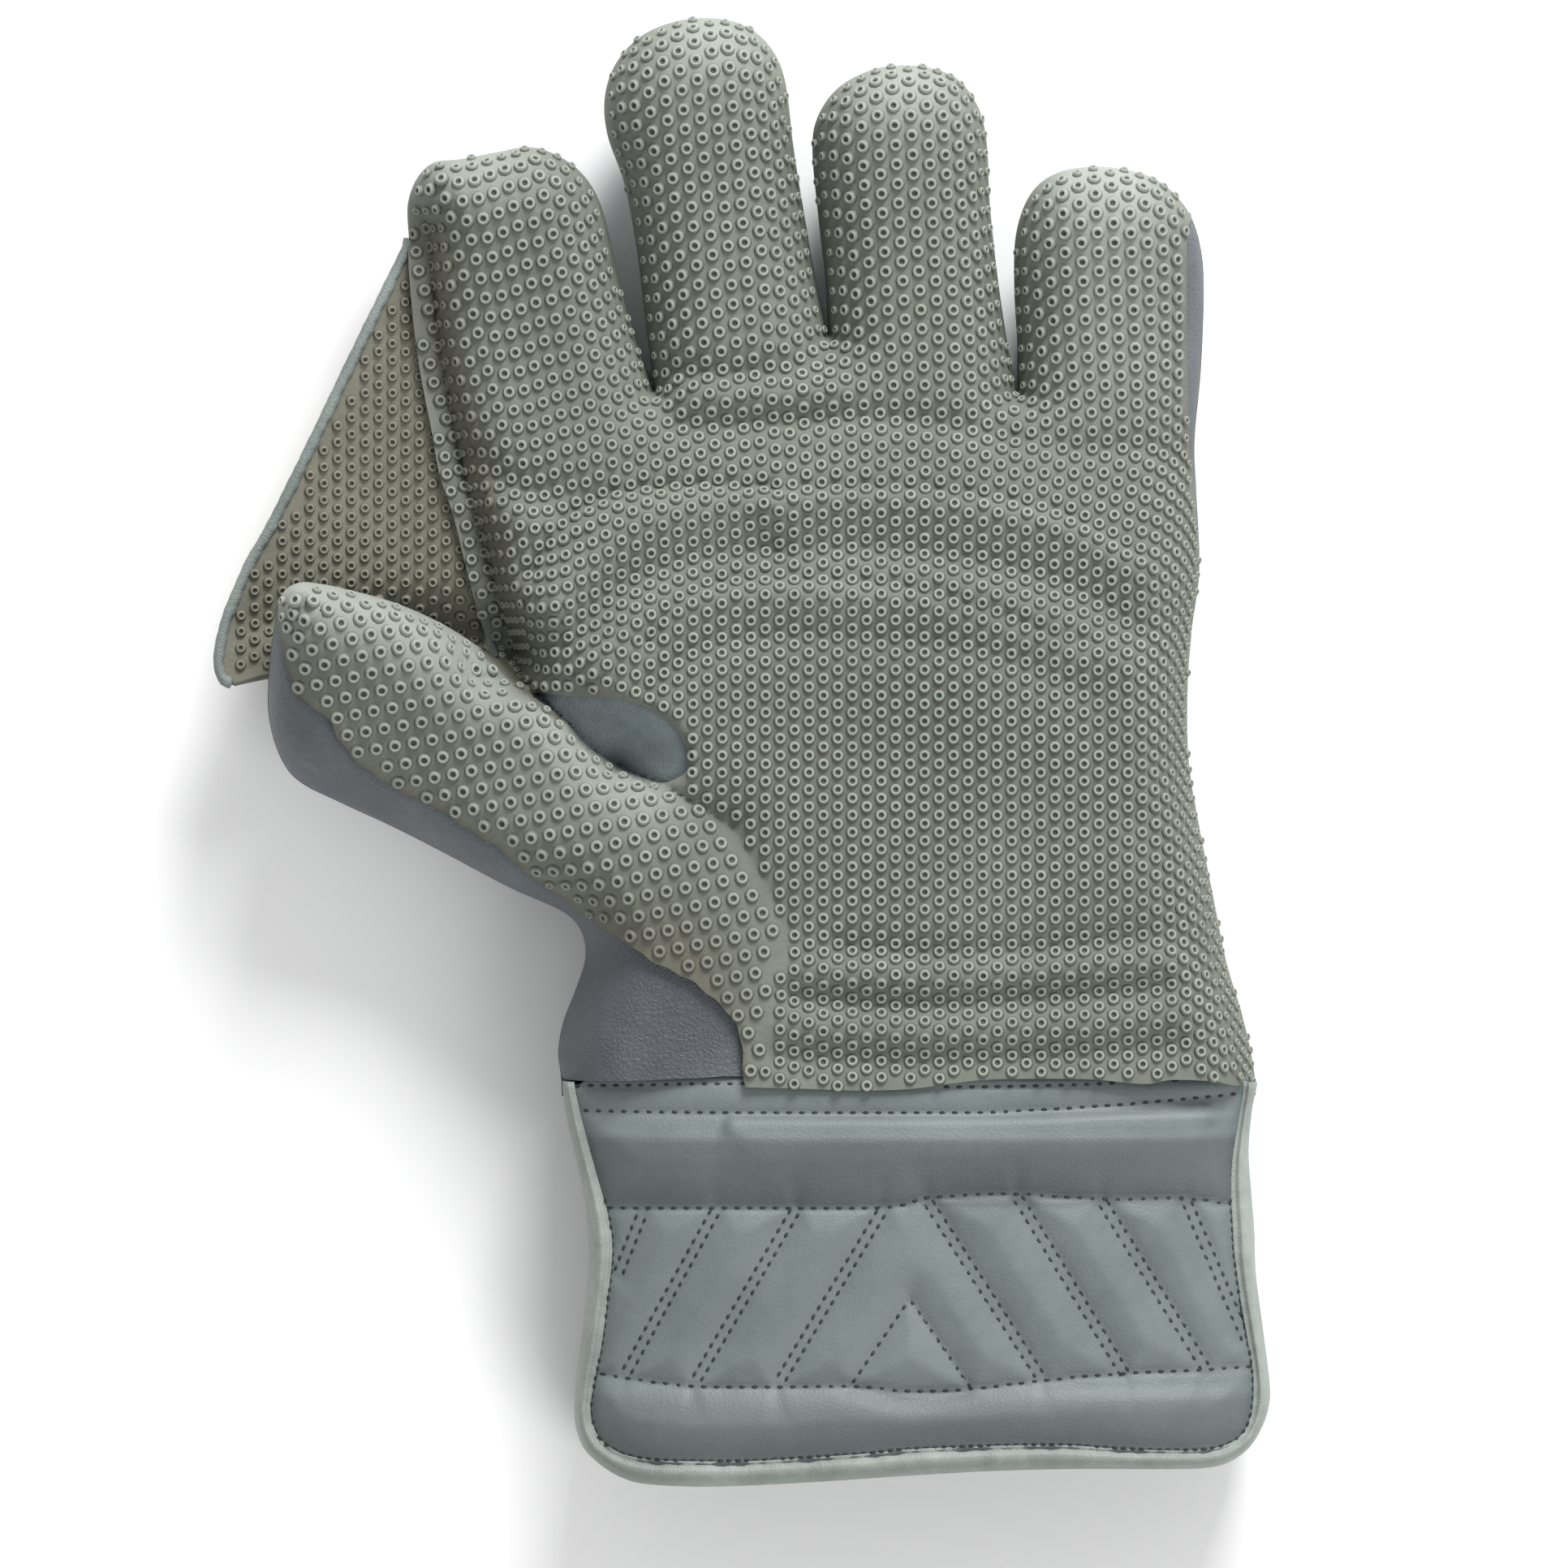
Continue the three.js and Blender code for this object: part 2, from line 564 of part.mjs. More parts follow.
const frontShell = handFront.subtract(window).add(thumbFront).subtract(hollow);
const handClear = handSolid(GAP, -REACH, 1);
const clearance = handClear.intersect(aboveHandSeam(-GAP)).add(thumbClear.intersect(aboveThumbSeam(-GAP)));
const handBack = handRear.add(thumbRear).subtract(clearance).subtract(hollow);
const palmFacing = frontShell.subtract(leatherRegion(0));
const gusset = handSolid(-GUSSET_SINK, 0, 0).subtract(handSolid(-GUSSET_SINK - WALL, 0, 0))
  .intersect(windowInside).subtract(thumbClear);

const palmHalf = slab((CUFF_DEPTH + GAP) / 2, CEILING);
const backHalf = slab(-CEILING, (CUFF_DEPTH - GAP) / 2);
const cuffPanel = cuffTube(0, prism(cuffOutline(BINDING_WIDTH + GAP), -CEILING, CEILING));
const cuffFront = cuffPanel.intersect(palmHalf).subtract(quiltGrooves());
const cuffEdge = prism(cuffOutline(-BINDING_PROUD), -CEILING, CEILING)
  .subtract(prism(cuffOutline(BINDING_WIDTH), -CEILING, CEILING));
const cuffBinding = cuffTube(BINDING_PROUD, cuffEdge);

const webBody = webSheet().subtract(handClear).subtract(thumbClear);
const bindingTube = loft(webBinding(), BINDING_SIDES, 0, 0).subtract(handClear).subtract(thumbClear);
const webCut = webBody.subtract(loft(webBinding(), BINDING_SIDES, GAP, 0));

const [baseLeather, thumbLeather] = largestBodies(frontShell.intersect(leatherRegion(-GAP)), 2);

const PARTS = [
  { name: 'palm_facing', solid: palmFacing, material: MATERIALS.facing },
  { name: 'hand_back', solid: handBack, material: MATERIALS.leather },
  { name: 'thumb_leather', solid: thumbLeather, material: MATERIALS.leather },
  { name: 'thumb_base', solid: baseLeather, material: MATERIALS.leather },
  { name: 'fork_gusset', solid: gusset, material: MATERIALS.leather },
  { name: 'web_panel', solid: webCut, material: MATERIALS.facing },
  { name: 'web_binding', solid: bindingTube, material: MATERIALS.binding },
  { name: 'cuff_front', solid: cuffFront, material: MATERIALS.cuffLeather },
  { name: 'cuff_back', solid: cuffPanel.intersect(backHalf), material: MATERIALS.cuffLeather },
  { name: 'cuff_binding_front', solid: cuffBinding.intersect(palmHalf), material: MATERIALS.binding },
  { name: 'cuff_binding_back', solid: cuffBinding.intersect(backHalf), material: MATERIALS.binding },
];

const hand = new THREE.Group();
for (const { name, solid, material } of PARTS) {
  const mesh = new THREE.Mesh(toGeometry(largestBodies(solid, 1)[0]), material);
  mesh.name = name;
  hand.add(mesh);
}

const box = new THREE.Box3().setFromObject(hand);
const centre = box.getCenter(new THREE.Vector3());
hand.position.set(-centre.x, -centre.y, -box.min.z);

const glove = new THREE.Group();
glove.add(hand);
export default glove;
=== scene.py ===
# %% [markdown]
# # A wicketkeeping glove, palm up
# The glove is a rubber palm full of small hollow pimples, sewn to a leather back, with a web between thumb
# and index finger and a quilted cuff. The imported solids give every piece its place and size. Here each
# soft piece gets its real surface: most of them are heights worked out over one outline, in numpy.

import bpy
import numpy as np
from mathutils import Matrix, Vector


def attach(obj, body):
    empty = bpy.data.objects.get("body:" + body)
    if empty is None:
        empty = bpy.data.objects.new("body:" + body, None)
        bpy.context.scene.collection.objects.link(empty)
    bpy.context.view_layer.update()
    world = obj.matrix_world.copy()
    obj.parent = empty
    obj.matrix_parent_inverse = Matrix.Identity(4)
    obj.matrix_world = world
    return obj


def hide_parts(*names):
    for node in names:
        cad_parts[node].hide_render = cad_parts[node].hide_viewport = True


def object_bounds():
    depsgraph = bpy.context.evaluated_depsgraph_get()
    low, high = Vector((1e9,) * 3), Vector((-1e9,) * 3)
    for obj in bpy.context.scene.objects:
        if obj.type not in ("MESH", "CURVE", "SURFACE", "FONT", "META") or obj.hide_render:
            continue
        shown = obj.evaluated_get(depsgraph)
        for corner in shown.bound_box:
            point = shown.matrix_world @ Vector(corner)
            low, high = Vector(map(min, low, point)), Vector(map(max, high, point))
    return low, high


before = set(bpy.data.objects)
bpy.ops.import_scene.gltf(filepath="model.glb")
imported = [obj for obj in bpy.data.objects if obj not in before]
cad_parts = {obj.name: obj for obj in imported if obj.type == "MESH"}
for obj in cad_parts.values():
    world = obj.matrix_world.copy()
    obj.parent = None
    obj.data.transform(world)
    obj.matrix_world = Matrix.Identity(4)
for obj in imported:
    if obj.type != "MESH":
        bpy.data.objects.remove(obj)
cad_low, cad_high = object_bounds()
MM = 0.001
print("solids, mm:", [round((h - l) / MM, 1) for l, h in zip(cad_low, cad_high)])

# %% [markdown]
# ## From photo pixels to metres
# The photo looks straight down on the glove. The glove is 1807 pixels tall there, so the height of the
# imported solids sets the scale. Sizes are written in millimetres and places as pixels of the photo, and a few
# small functions turn pixels into metres and back.

# %% Scale
PHOTO_LEFT, PHOTO_RIGHT = 263, 1564
PHOTO_TOP, PHOTO_BOTTOM = 22, 1829
PIXEL = (cad_high[1] - cad_low[1]) / (PHOTO_BOTTOM - PHOTO_TOP)
PHOTO_CENTRE = np.array([(PHOTO_LEFT + PHOTO_RIGHT) / 2, (PHOTO_TOP + PHOTO_BOTTOM) / 2])
BOX_CENTRE = np.array([(cad_low[0] + cad_high[0]) / 2, (cad_low[1] + cad_high[1]) / 2])


def place(pixels):
    """Pixels of the photo to metres: scaled about the middle of the glove, with y turned upwards."""
    away = np.asarray(pixels, float) - PHOTO_CENTRE
    return BOX_CENTRE + away * PIXEL * np.array([1, -1])


def x_at(column):
    """The x in metres of a column of the photo."""
    return place((column, 0))[0]


def y_at(row):
    """The y in metres of a row of the photo."""
    return place((0, row))[1]


def column_of(x):
    """The column of the photo, in pixels, at an x in metres."""
    return PHOTO_CENTRE[0] + (x - BOX_CENTRE[0]) / PIXEL


def row_of(y):
    """The row of the photo, in pixels, at a y in metres."""
    return PHOTO_CENTRE[1] - (y - BOX_CENTRE[1]) / PIXEL


print("one pixel is", round(PIXEL / MM, 4), "mm")

# %% [markdown]
# ## Curves through points
# A sewn outline is smooth between its corners. Each stretch is a Catmull-Rom curve through a few points
# read off the photo, walked at even steps, and an outline is several stretches end to end. A crotch
# between two fingers is a corner, so a stretch ends there.

# %% Smooth curves
def run_along(line):
    """The length along a line of points, up to each of them."""
    return np.concatenate([[0], np.cumsum(np.linalg.norm(np.diff(line, axis=0), axis=1))])


def walk(line, run, lengths):
    """The places on a line at some lengths along it."""
    return np.column_stack([np.interp(lengths, run, axis) for axis in line.T])


def smooth_curve(points, step):
    """Catmull-Rom through the points, then resampled at even steps of arc length."""
    points = np.asarray(points, float)
    padded = np.vstack([2 * points[0] - points[1], points, 2 * points[-1] - points[-2]])
    share = np.linspace(0, 1, 16, endpoint=False)[:, None]
    a, b, c, d = (padded[i:len(padded) - 3 + i, None, :] for i in range(4))
    cubic = 2 * b + (c - a) * share + (2 * a - 5 * b + 4 * c - d) * share**2
    cubic = (cubic + (3 * b - a - 3 * c + d) * share**3) / 2
    dense = np.vstack([cubic.reshape(-1, points.shape[1]), points[-1:]])
    run = run_along(dense)
    return walk(dense, run, np.linspace(0, run[-1], max(2, int(round(run[-1] / step)) + 1)))


def curve_of(pixels, step=1.2 * MM):
    """A smooth curve in metres through pixels of the photo."""
    return smooth_curve(place(pixels), step)


# %% Soft steps, bells and distances
PAIRS_AT_ONCE = 60000


def smoothstep(low, high, value):
    """0 below low, 1 above high, and 3t^2 - 2t^3 between."""
    t = np.clip((value - low) / (high - low), 0, 1)
    return t * t * (3 - 2 * t)


def bell(distance, width, power=2):
    """exp(-|d / width|^power): 1 at distance 0, fading outwards."""
    return np.exp(-np.abs(distance / width)**power)


def unit(vectors):
    """Vectors made one long."""
    return vectors / np.maximum(np.linalg.norm(vectors, axis=-1, keepdims=True), 1e-12)


def nearest_on(points, line):
    """For each point: its distance to a polyline, the nearest point there, the arc length to it, and the
    side, which is positive left of the line. Each segment is tried: the foot is clipped to its ends."""
    start, along = line[:-1], np.diff(line, axis=0)
    squared = np.maximum((along**2).sum(1), 1e-18)
    run = np.concatenate([[0], np.cumsum(np.sqrt(squared))])
    found = []
    for chunk in np.array_split(points, max(1, len(points) * len(line) // PAIRS_AT_ONCE)):
        away_x, away_y = chunk[:, :1] - start[:, 0], chunk[:, 1:] - start[:, 1]
        t = np.clip((away_x * along[:, 0] + away_y * along[:, 1]) / squared, 0, 1)
        gap_x, gap_y = away_x - t * along[:, 0], away_y - t * along[:, 1]
        best = (gap_x * gap_x + gap_y * gap_y).argmin(1)
        rows = np.arange(len(chunk))
        gap = np.column_stack([gap_x[rows, best], gap_y[rows, best]])
        turn = along[best, 0] * gap[:, 1] - along[best, 1] * gap[:, 0]
        reached = run[best] + t[rows, best] * np.sqrt(squared[best])
        found.append((np.linalg.norm(gap, axis=1), chunk - gap, reached, np.sign(turn)))
    return [np.concatenate(part) for part in zip(*found)]


def distance_to(points, *lines):
    """Distance to the nearest of some lines."""
    return np.minimum.reduce([nearest_on(points, line)[0] for line in lines])


def inside_of(points, loop):
    """Even-odd rule: a point is inside where a ray towards +x crosses the loop an odd number of times."""
    a, b = loop, np.roll(loop, -1, axis=0)
    parts = []
    for chunk in np.array_split(points, max(1, len(points) * len(loop) // PAIRS_AT_ONCE)):
        x, y = chunk[:, :1], chunk[:, 1:]
        spans = (a[:, 1] > y) != (b[:, 1] > y)
        rise = np.where(b[:, 1] == a[:, 1], 1e-12, b[:, 1] - a[:, 1])
        cross = a[:, 0] + (y - a[:, 1]) * (b[:, 0] - a[:, 0]) / rise
        parts.append((spans & (x < cross)).sum(1) % 2 == 1)
    return np.concatenate(parts)


# %% [markdown]
# ## The outline of the hand
# Seen from above, palm, fingers and thumb have one outline, with four corners: three crotches and the fork
# of the thumb. It runs on past the wrist seam, so that nothing rounds down there. The stretch where the web
# is sewn on is kept apart, because the finger meets the web on a flat flange and not on a round side.

# %% Outline tables
CROTCH_LITTLE = (1255, 480)
CROTCH_RING = (1021, 410)
CROTCH_MIDDLE = (805, 478)
WEB_TOP = (502, 292)
FORK = (607, 810)
PAST_WRIST = 1440

LITTLE_SIDE = [
    (1552, PAST_WRIST), (1550, 1335), (1536, 1260), (1514, 1185), (1497, 1100), (1481, 1020), (1468, 940),
    (1466, 860), (1471, 780), (1481, 700), (1477, 600), (1475, 540), (1483, 450), (1486, 350), (1480, 295),
    (1463, 254), (1430, 222), (1390, 208), (1345, 204), (1300, 213), (1270, 238), (1253, 285), (1251, 350),
    (1255, 420), CROTCH_LITTLE,
]
RING_FINGER = [
    CROTCH_LITTLE, (1243, 420), (1231, 340), (1221, 250), (1217, 175), (1207, 132), (1183, 98), (1150, 83),
    (1110, 79), (1070, 86), (1031, 108), (1007, 143), (1001, 182), (1008, 260), (1017, 340), CROTCH_RING,
]
MIDDLE_FINGER = [
    CROTCH_RING, (1005, 340), (991, 260), (978, 180), (968, 100), (952, 60), (922, 32), (880, 21), (832, 25),
    (788, 44), (757, 78), (744, 120), (748, 165), (768, 222), (783, 300), (793, 380), CROTCH_MIDDLE,
]
INDEX_TIP = [
    CROTCH_MIDDLE, (781, 410), (765, 354), (752, 300), (741, 254), (722, 218), (694, 194), (655, 180),
    (608, 187), (565, 195), (534, 199), (513, 218), (501, 250), WEB_TOP,
]
WEB_SEAM = [
    WEB_TOP, (503, 330), (509, 400), (518, 465), (530, 525), (541, 585), (558, 635), (574, 700),
    (591, 765), FORK,
]
THUMB = [
    FORK, (581, 791), (540, 766), (487, 743), (432, 728), (398, 721), (372, 720), (352, 734), (345, 762),
    (338, 795), (333, 840), (333, 886), (345, 932), (368, 963), (420, 990), (480, 1018), (547, 1052),
    (628, 1095), (690, 1123), (714, 1147), (720, 1180), (708, 1220), (692, 1262), (686, 1300), (690, 1335),
    (694, PAST_WRIST),
]

outer_stretches = [curve_of(LITTLE_SIDE), curve_of(RING_FINGER), curve_of(MIDDLE_FINGER), curve_of(INDEX_TIP)]
seam_line = curve_of(WEB_SEAM)
thumb_line = curve_of(THUMB)
finger_line = np.vstack(outer_stretches)
hand_loop = np.vstack([finger_line, seam_line, thumb_line])
print("outline points:", len(hand_loop))

# %% [markdown]
# ## One grid over the whole hand
# A glove's palm is one sheet that rounds over at every edge. That is a height worked out from the distance
# to the outline, so palm and fingers need no joints between them. The grid starts square, and points near
# the edge are then pushed outwards, so that the steep rounded side keeps even faces.

# %% Grid and distances
GRID_STEP = 0.9 * MM
GRID_FOOT = 1352
ROLL = 15 * MM


def flat_grid(x, y):
    """The points of a grid, row by row, and its shape."""
    return np.stack(np.meshgrid(x, y), axis=-1).reshape(-1, 2), (len(y), len(x))


def hand_distances(points):
    """Distance to the rounded outline and its nearest point there, distance to the web's seam, and the
    signed distance inside both."""
    to_fingers, foot_a, _, _ = nearest_on(points, finger_line)
    to_thumb, foot_b, _, _ = nearest_on(points, thumb_line)
    to_seam = distance_to(points, seam_line)
    rounded = np.minimum(to_fingers, to_thumb)
    foot = np.where((to_fingers < to_thumb)[:, None], foot_a, foot_b)
    sign = np.where(inside_of(points, hand_loop), 1, -1)
    inside = sign * np.minimum(rounded, to_seam)
    return {"rounded": rounded, "foot": foot, "seam": to_seam, "inside": inside}


def rolled(points, distances):
    """Pushes points near the rounded edge outwards: a point at distance d goes to
    ROLL (1 - cos(pi d / 2 ROLL)), which leaves the edge and all that is further in than ROLL."""
    d = np.clip(distances["rounded"], 0, ROLL)
    new = ROLL * (1 - np.cos(np.pi * d / (2 * ROLL)))
    inward = (points - distances["foot"]) / np.maximum(distances["rounded"], 1e-9)[:, None]
    return points + inward * ((new - d) * (distances["inside"] > 0))[:, None]


square_grid, GRID_SHAPE = flat_grid(
    np.arange(cad_low[0] - 2 * GRID_STEP, cad_high[0] + 2 * GRID_STEP, GRID_STEP),
    np.arange(y_at(GRID_FOOT), cad_high[1] + 2 * GRID_STEP, GRID_STEP),
)
GRID = rolled(square_grid, hand_distances(square_grid))
near = hand_distances(GRID)
print("grid:", GRID_SHAPE, "inside:", int((near["inside"] > 0).sum()))

# %% [markdown]
# ## The height of the palm side
# The height is built up from what the real glove has. Front and back meet at the outline at a seam height,
# which rises where the fingers curl and where the thumb lifts. Over it the padding rounds up to the palm's
# depth. The web's side of the index finger ends in a flat flange with a valley beside it. Creases and folds
# are last: a crease is a sharp valley that opens with distance, a swell is a soft rounded bar.

# %% Lift of fingers and thumb
SEAM_HEIGHT = 18 * MM
FINGER_RISE = 16 * MM
PALM_RISE = 26.5 * MM
FINGER_CURL = 9 * MM
THUMB_LIFT = 20 * MM
THUMB_LENGTH = 86 * MM
THUMB_RISE = 15.5 * MM
THUMB_TILT = np.tan(np.radians(15))
THUMB_LEAN = np.radians(58)
THUMB_TOP = 700
THUMB_ROOT = place((764, 1051))
THUMB_ALONG = np.array([-np.sin(THUMB_LEAN), np.cos(THUMB_LEAN)])
THUMB_ACROSS = np.array([np.cos(THUMB_LEAN), np.sin(THUMB_LEAN)])

FINGER_ROOTS = place([(666, 478), (912, 478), (1134, 478), (1367, 478)])
FINGER_TIPS = place([(598, 184), (873, 22), (1112, 80), (1352, 205)])


def thumb_place(points):
    """Distance along and across the thumb, and 1 on the thumb falling to 0 on the palm's side of it."""
    away = points - THUMB_ROOT
    along, across = away @ THUMB_ALONG, away @ THUMB_ACROSS
    return along, across, 1 - smoothstep(18.5 * MM, 25 * MM, across)


def seam_height(points):
    """The height at which front and back meet: level on the palm, rising with the square of the way along
    the nearest finger, and with the square of the way along the thumb, which is tilted as well."""
    axis = FINGER_TIPS - FINGER_ROOTS
    length = np.linalg.norm(axis, axis=1)
    away = points[:, None, :] - FINGER_ROOTS
    along = (away * axis).sum(2) / length
    across = np.abs(away[..., 0] * axis[:, 1] - away[..., 1] * axis[:, 0]) / length
    nearest_finger = across.argmin(1)
    rows = np.arange(len(points))
    share = np.clip(along[rows, nearest_finger] / length[nearest_finger], 0, 1)
    curl = FINGER_CURL * share**2
    reach, side, on_thumb = thumb_place(points)
    out = np.clip(reach / THUMB_LENGTH, 0, 1.05)
    lift = THUMB_LIFT * out**2 + 4 * MM * smoothstep(0, 30 * MM, reach)
    lift = lift + THUMB_TILT * side * smoothstep(10 * MM, 50 * MM, reach)
    is_thumb = on_thumb * (points[:, 1] < y_at(THUMB_TOP))
    return SEAM_HEIGHT + np.where(points[:, 1] > FINGER_ROOTS[0, 1], curl, 0) + lift * is_thumb


def round_side(distance, radius):
    """A quarter circle: 0 at the edge, straight up there, and level at 1 from the radius inwards."""
    return np.sqrt(np.clip(1 - (1 - np.clip(distance / radius, 0, 1))**2, 0, 1))


# %% Creases and swells
# kind, depth in mm at the start and at the end, width in mm, and the pixels that it runs through
FOLDS = [
    ("edge", 9.5, 8.0, 9, [(600, 804), (640, 838), (662, 856), (696, 888), (723, 918), (760, 944)]),
    ("swell", -4.0, -3.0, 3.0, [(606, 810), (640, 838), (664, 858)]),
    ("crease", 8.0, 2.5, 15, [(760, 944), (800, 962), (850, 985), (900, 1015)]),
    ("crease", 2.5, 0.4, 13, [(900, 1015), (935, 1070), (962, 1120), (985, 1165)]),
    ("swell", 2.4, 1.6, 8, [(690, 745), (730, 690), (780, 650), (860, 625), (950, 615)]),
    ("swell", 1.6, 1.8, 8, [(950, 615), (1080, 610), (1200, 622), (1320, 652), (1400, 700)]),
    ("swell", -2.2, -1.4, 7, [(700, 790), (760, 725), (850, 690), (950, 680)]),
    ("swell", -1.4, -1.6, 7, [(950, 680), (1080, 675), (1200, 690), (1320, 725), (1400, 775)]),
    ("swell", -1.7, -1.5, 3.6, [(655, 705), (690, 652), (745, 612), (850, 598), (950, 602)]),
    ("swell", -1.5, -1.0, 3.6, [(950, 602), (1080, 600), (1200, 610), (1320, 638), (1400, 682)]),
    ("swell", -1.5, -1.0, 3.6, [(800, 790), (830, 748), (880, 719), (1000, 714), (1150, 730), (1330, 792)]),
    ("swell", 1.5, 0.9, 7, [(740, 830), (790, 770), (870, 738), (1000, 728), (1200, 740), (1380, 820)]),
    ("swell", -1.3, -0.7, 6, [(800, 850), (850, 805), (930, 785), (1050, 785), (1200, 800), (1330, 850)]),
    ("swell", -1.8, -1.2, 6, [(828, 452), (890, 458), (960, 455), (1010, 445)]),
    ("swell", 1.2, 1.0, 6, [(820, 488), (900, 492), (1000, 488), (1030, 480)]),
    ("swell", -1.6, -1.6, 6, [(830, 525), (930, 520), (1050, 515), (1150, 520), (1240, 540)]),
    ("swell", -1.2, -1.0, 6, [(1250, 540), (1330, 552), (1400, 550), (1450, 560)]),
    ("swell", -2.0, -0.8, 7, [(585, 560), (630, 595), (690, 610), (760, 590), (800, 560)]),
    ("swell", 1.3, 0.8, 7, [(600, 620), (660, 650), (720, 645), (780, 615)]),
    ("swell", -1.4, -1.0, 6, [(1040, 1165), (1150, 1170), (1280, 1165), (1420, 1150)]),
    ("swell", 1.3, 0.9, 6, [(1000, 1195), (1150, 1200), (1300, 1193), (1440, 1180)]),
    ("swell", -1.8, -1.3, 6, [(980, 1225), (1100, 1236), (1250, 1228), (1430, 1212)]),
    ("swell", 1.0, 0.8, 6, [(1000, 1262), (1150, 1268), (1300, 1262), (1450, 1250)]),
    ("swell", -1.5, -1.0, 6, [(960, 1296), (1100, 1303), (1260, 1298), (1450, 1285)]),
    ("swell", -1.2, -1.2, 7, [(1400, 1010), (1425, 1080), (1450, 1160)]),
]
# middle pixel, radius in mm and height in mm of the palm's broad mounds and hollows
MOUNDS = [
    ((1090, 900), 27, -3.2), ((800, 1060), 17, 2.2), ((1380, 1080), 18, 1.6), ((1100, 570), 22, 1.2),
    ((700, 560), 11, 1.6), ((1010, 1130), 14, -1.0),
]
print("folds:", len(FOLDS), "mounds:", len(MOUNDS))


def fold_height(points):
    """All folds and mounds summed. A swell is a bell across its line. A crease drops like a quarter circle
    turned over, so it is sharp at its line. An edge does so on its right only, and rises gently on its
    left. The depth runs evenly from the line's start to its end."""
    height = np.zeros(len(points))
    for kind, first, last, width, pixels in FOLDS:
        line = curve_of(pixels, 2.5 * MM)
        away, _, run, side = nearest_on(points, line)
        share = run / (len(line) - 1) / np.linalg.norm(line[1] - line[0])
        depth = (first + (last - first) * np.clip(share, 0, 1)) * MM
        if kind == "swell":
            height += depth * bell(away, 0.55 * width * MM)
        elif kind == "edge":
            gentle = 1 - smoothstep(-0.4 * width * MM, 1.7 * width * MM, away)
            gentle = gentle / (1 - smoothstep(-0.4, 1.7, 0.0))
            height -= depth * np.where(side > 0, gentle, 1 - round_side(away, width * MM))
        else:
            height -= depth * (1 - round_side(away, width * MM))
    for pixel, radius, tall in MOUNDS:
        height += tall * MM * bell(np.linalg.norm(points - place(pixel), axis=1), radius * MM)
    return height


# %% Palm side
FLANGE = 5.2 * MM
FLANGE_HEIGHT = 0.46
FLANGE_WALL = 13 * MM
VALLEY_DEPTH = 0.11
VALLEY_WIDTH = 1.9 * MM
PALM_STARTS, FINGERS_START = 900, 470


def palm_height(points, distances):
    """Seam height plus rise times roundness: the product of the rounded side and of the flange beside the
    web, which stays flat for its width, dips in a valley and then climbs a quarter circle."""
    reach, _, on_thumb = thumb_place(points)
    in_palm = 1 - smoothstep(y_at(PALM_STARTS), y_at(FINGERS_START), points[:, 1])
    rise = FINGER_RISE + (PALM_RISE - FINGER_RISE) * in_palm
    rise = rise + (THUMB_RISE - rise) * smoothstep(0, 45 * MM, reach) * on_thumb
    climb = round_side(distances["seam"] - FLANGE, FLANGE_WALL)
    valley = VALLEY_DEPTH * bell(distances["seam"] - 1.15 * FLANGE, VALLEY_WIDTH)
    flange = FLANGE_HEIGHT + (1 - FLANGE_HEIGHT) * climb - valley
    side = round_side(distances["rounded"], ROLL)
    folds = fold_height(points) * side
    over_seam = np.maximum(rise * flange * side + folds, 1.6 * MM * side)
    return seam_height(points) + over_seam


palm_middle = place([(1090, 900)])
middle_height = palm_height(palm_middle, hand_distances(palm_middle))
print("height over the middle of the palm:", round(float(middle_height[0]) / MM, 1), "mm")

# %% [markdown]
# ## Sheets over the grid
# Each leather or rubber piece covers part of the grid. A field says where: it is the distance inside the
# piece's edge, above zero on the piece. Squares with at least three corners on the piece are kept, and each
# border point is moved down the field's slope until the field is zero there, so the edge is a clean line.

# %% Cutting a grid
def slope_of(field, where, step=0.1 * MM):
    """Central differences of a field, per metre."""
    ahead = np.array([[step, 0], [0, step]])
    return np.column_stack([field(where + a) - field(where - a) for a in ahead]) / (2 * step)


def grid_faces(rows, columns):
    """Corner numbers of the squares of a rows by columns grid of points."""
    first = (np.arange(rows - 1)[:, None] * columns + np.arange(columns - 1)).ravel()
    return np.column_stack([first, first + 1, first + 1 + columns, first + columns])


def cut_grid(grid, shape, values, field, step, rounds):
    """The squares with at least three corners above zero, and their points. A border point, which fewer
    than four faces share, goes onto the field's edge by Newton steps down the slope, each of one grid step
    at most. Returns the faces, the numbers of the points used, their places, and which are on the border."""
    good = (values.reshape(shape) > 0).astype(int)
    kept = good[:-1, :-1] + good[1:, :-1] + good[:-1, 1:] + good[1:, 1:] > 2
    used, faces = np.unique(grid_faces(*shape)[kept.ravel()], return_inverse=True)
    faces = faces.reshape(-1, 4)
    border = np.bincount(faces.ravel()) < 4
    where = grid[used].copy()
    for _ in range(rounds):
        edge = where[border]
        slope = slope_of(field, edge)
        size = np.maximum(np.linalg.norm(slope, axis=1), 0.3)
        move = np.clip(field(edge) / size, -step, step)
        where[border] = edge - slope / size[:, None] * move[:, None]
    return faces, used, where, border


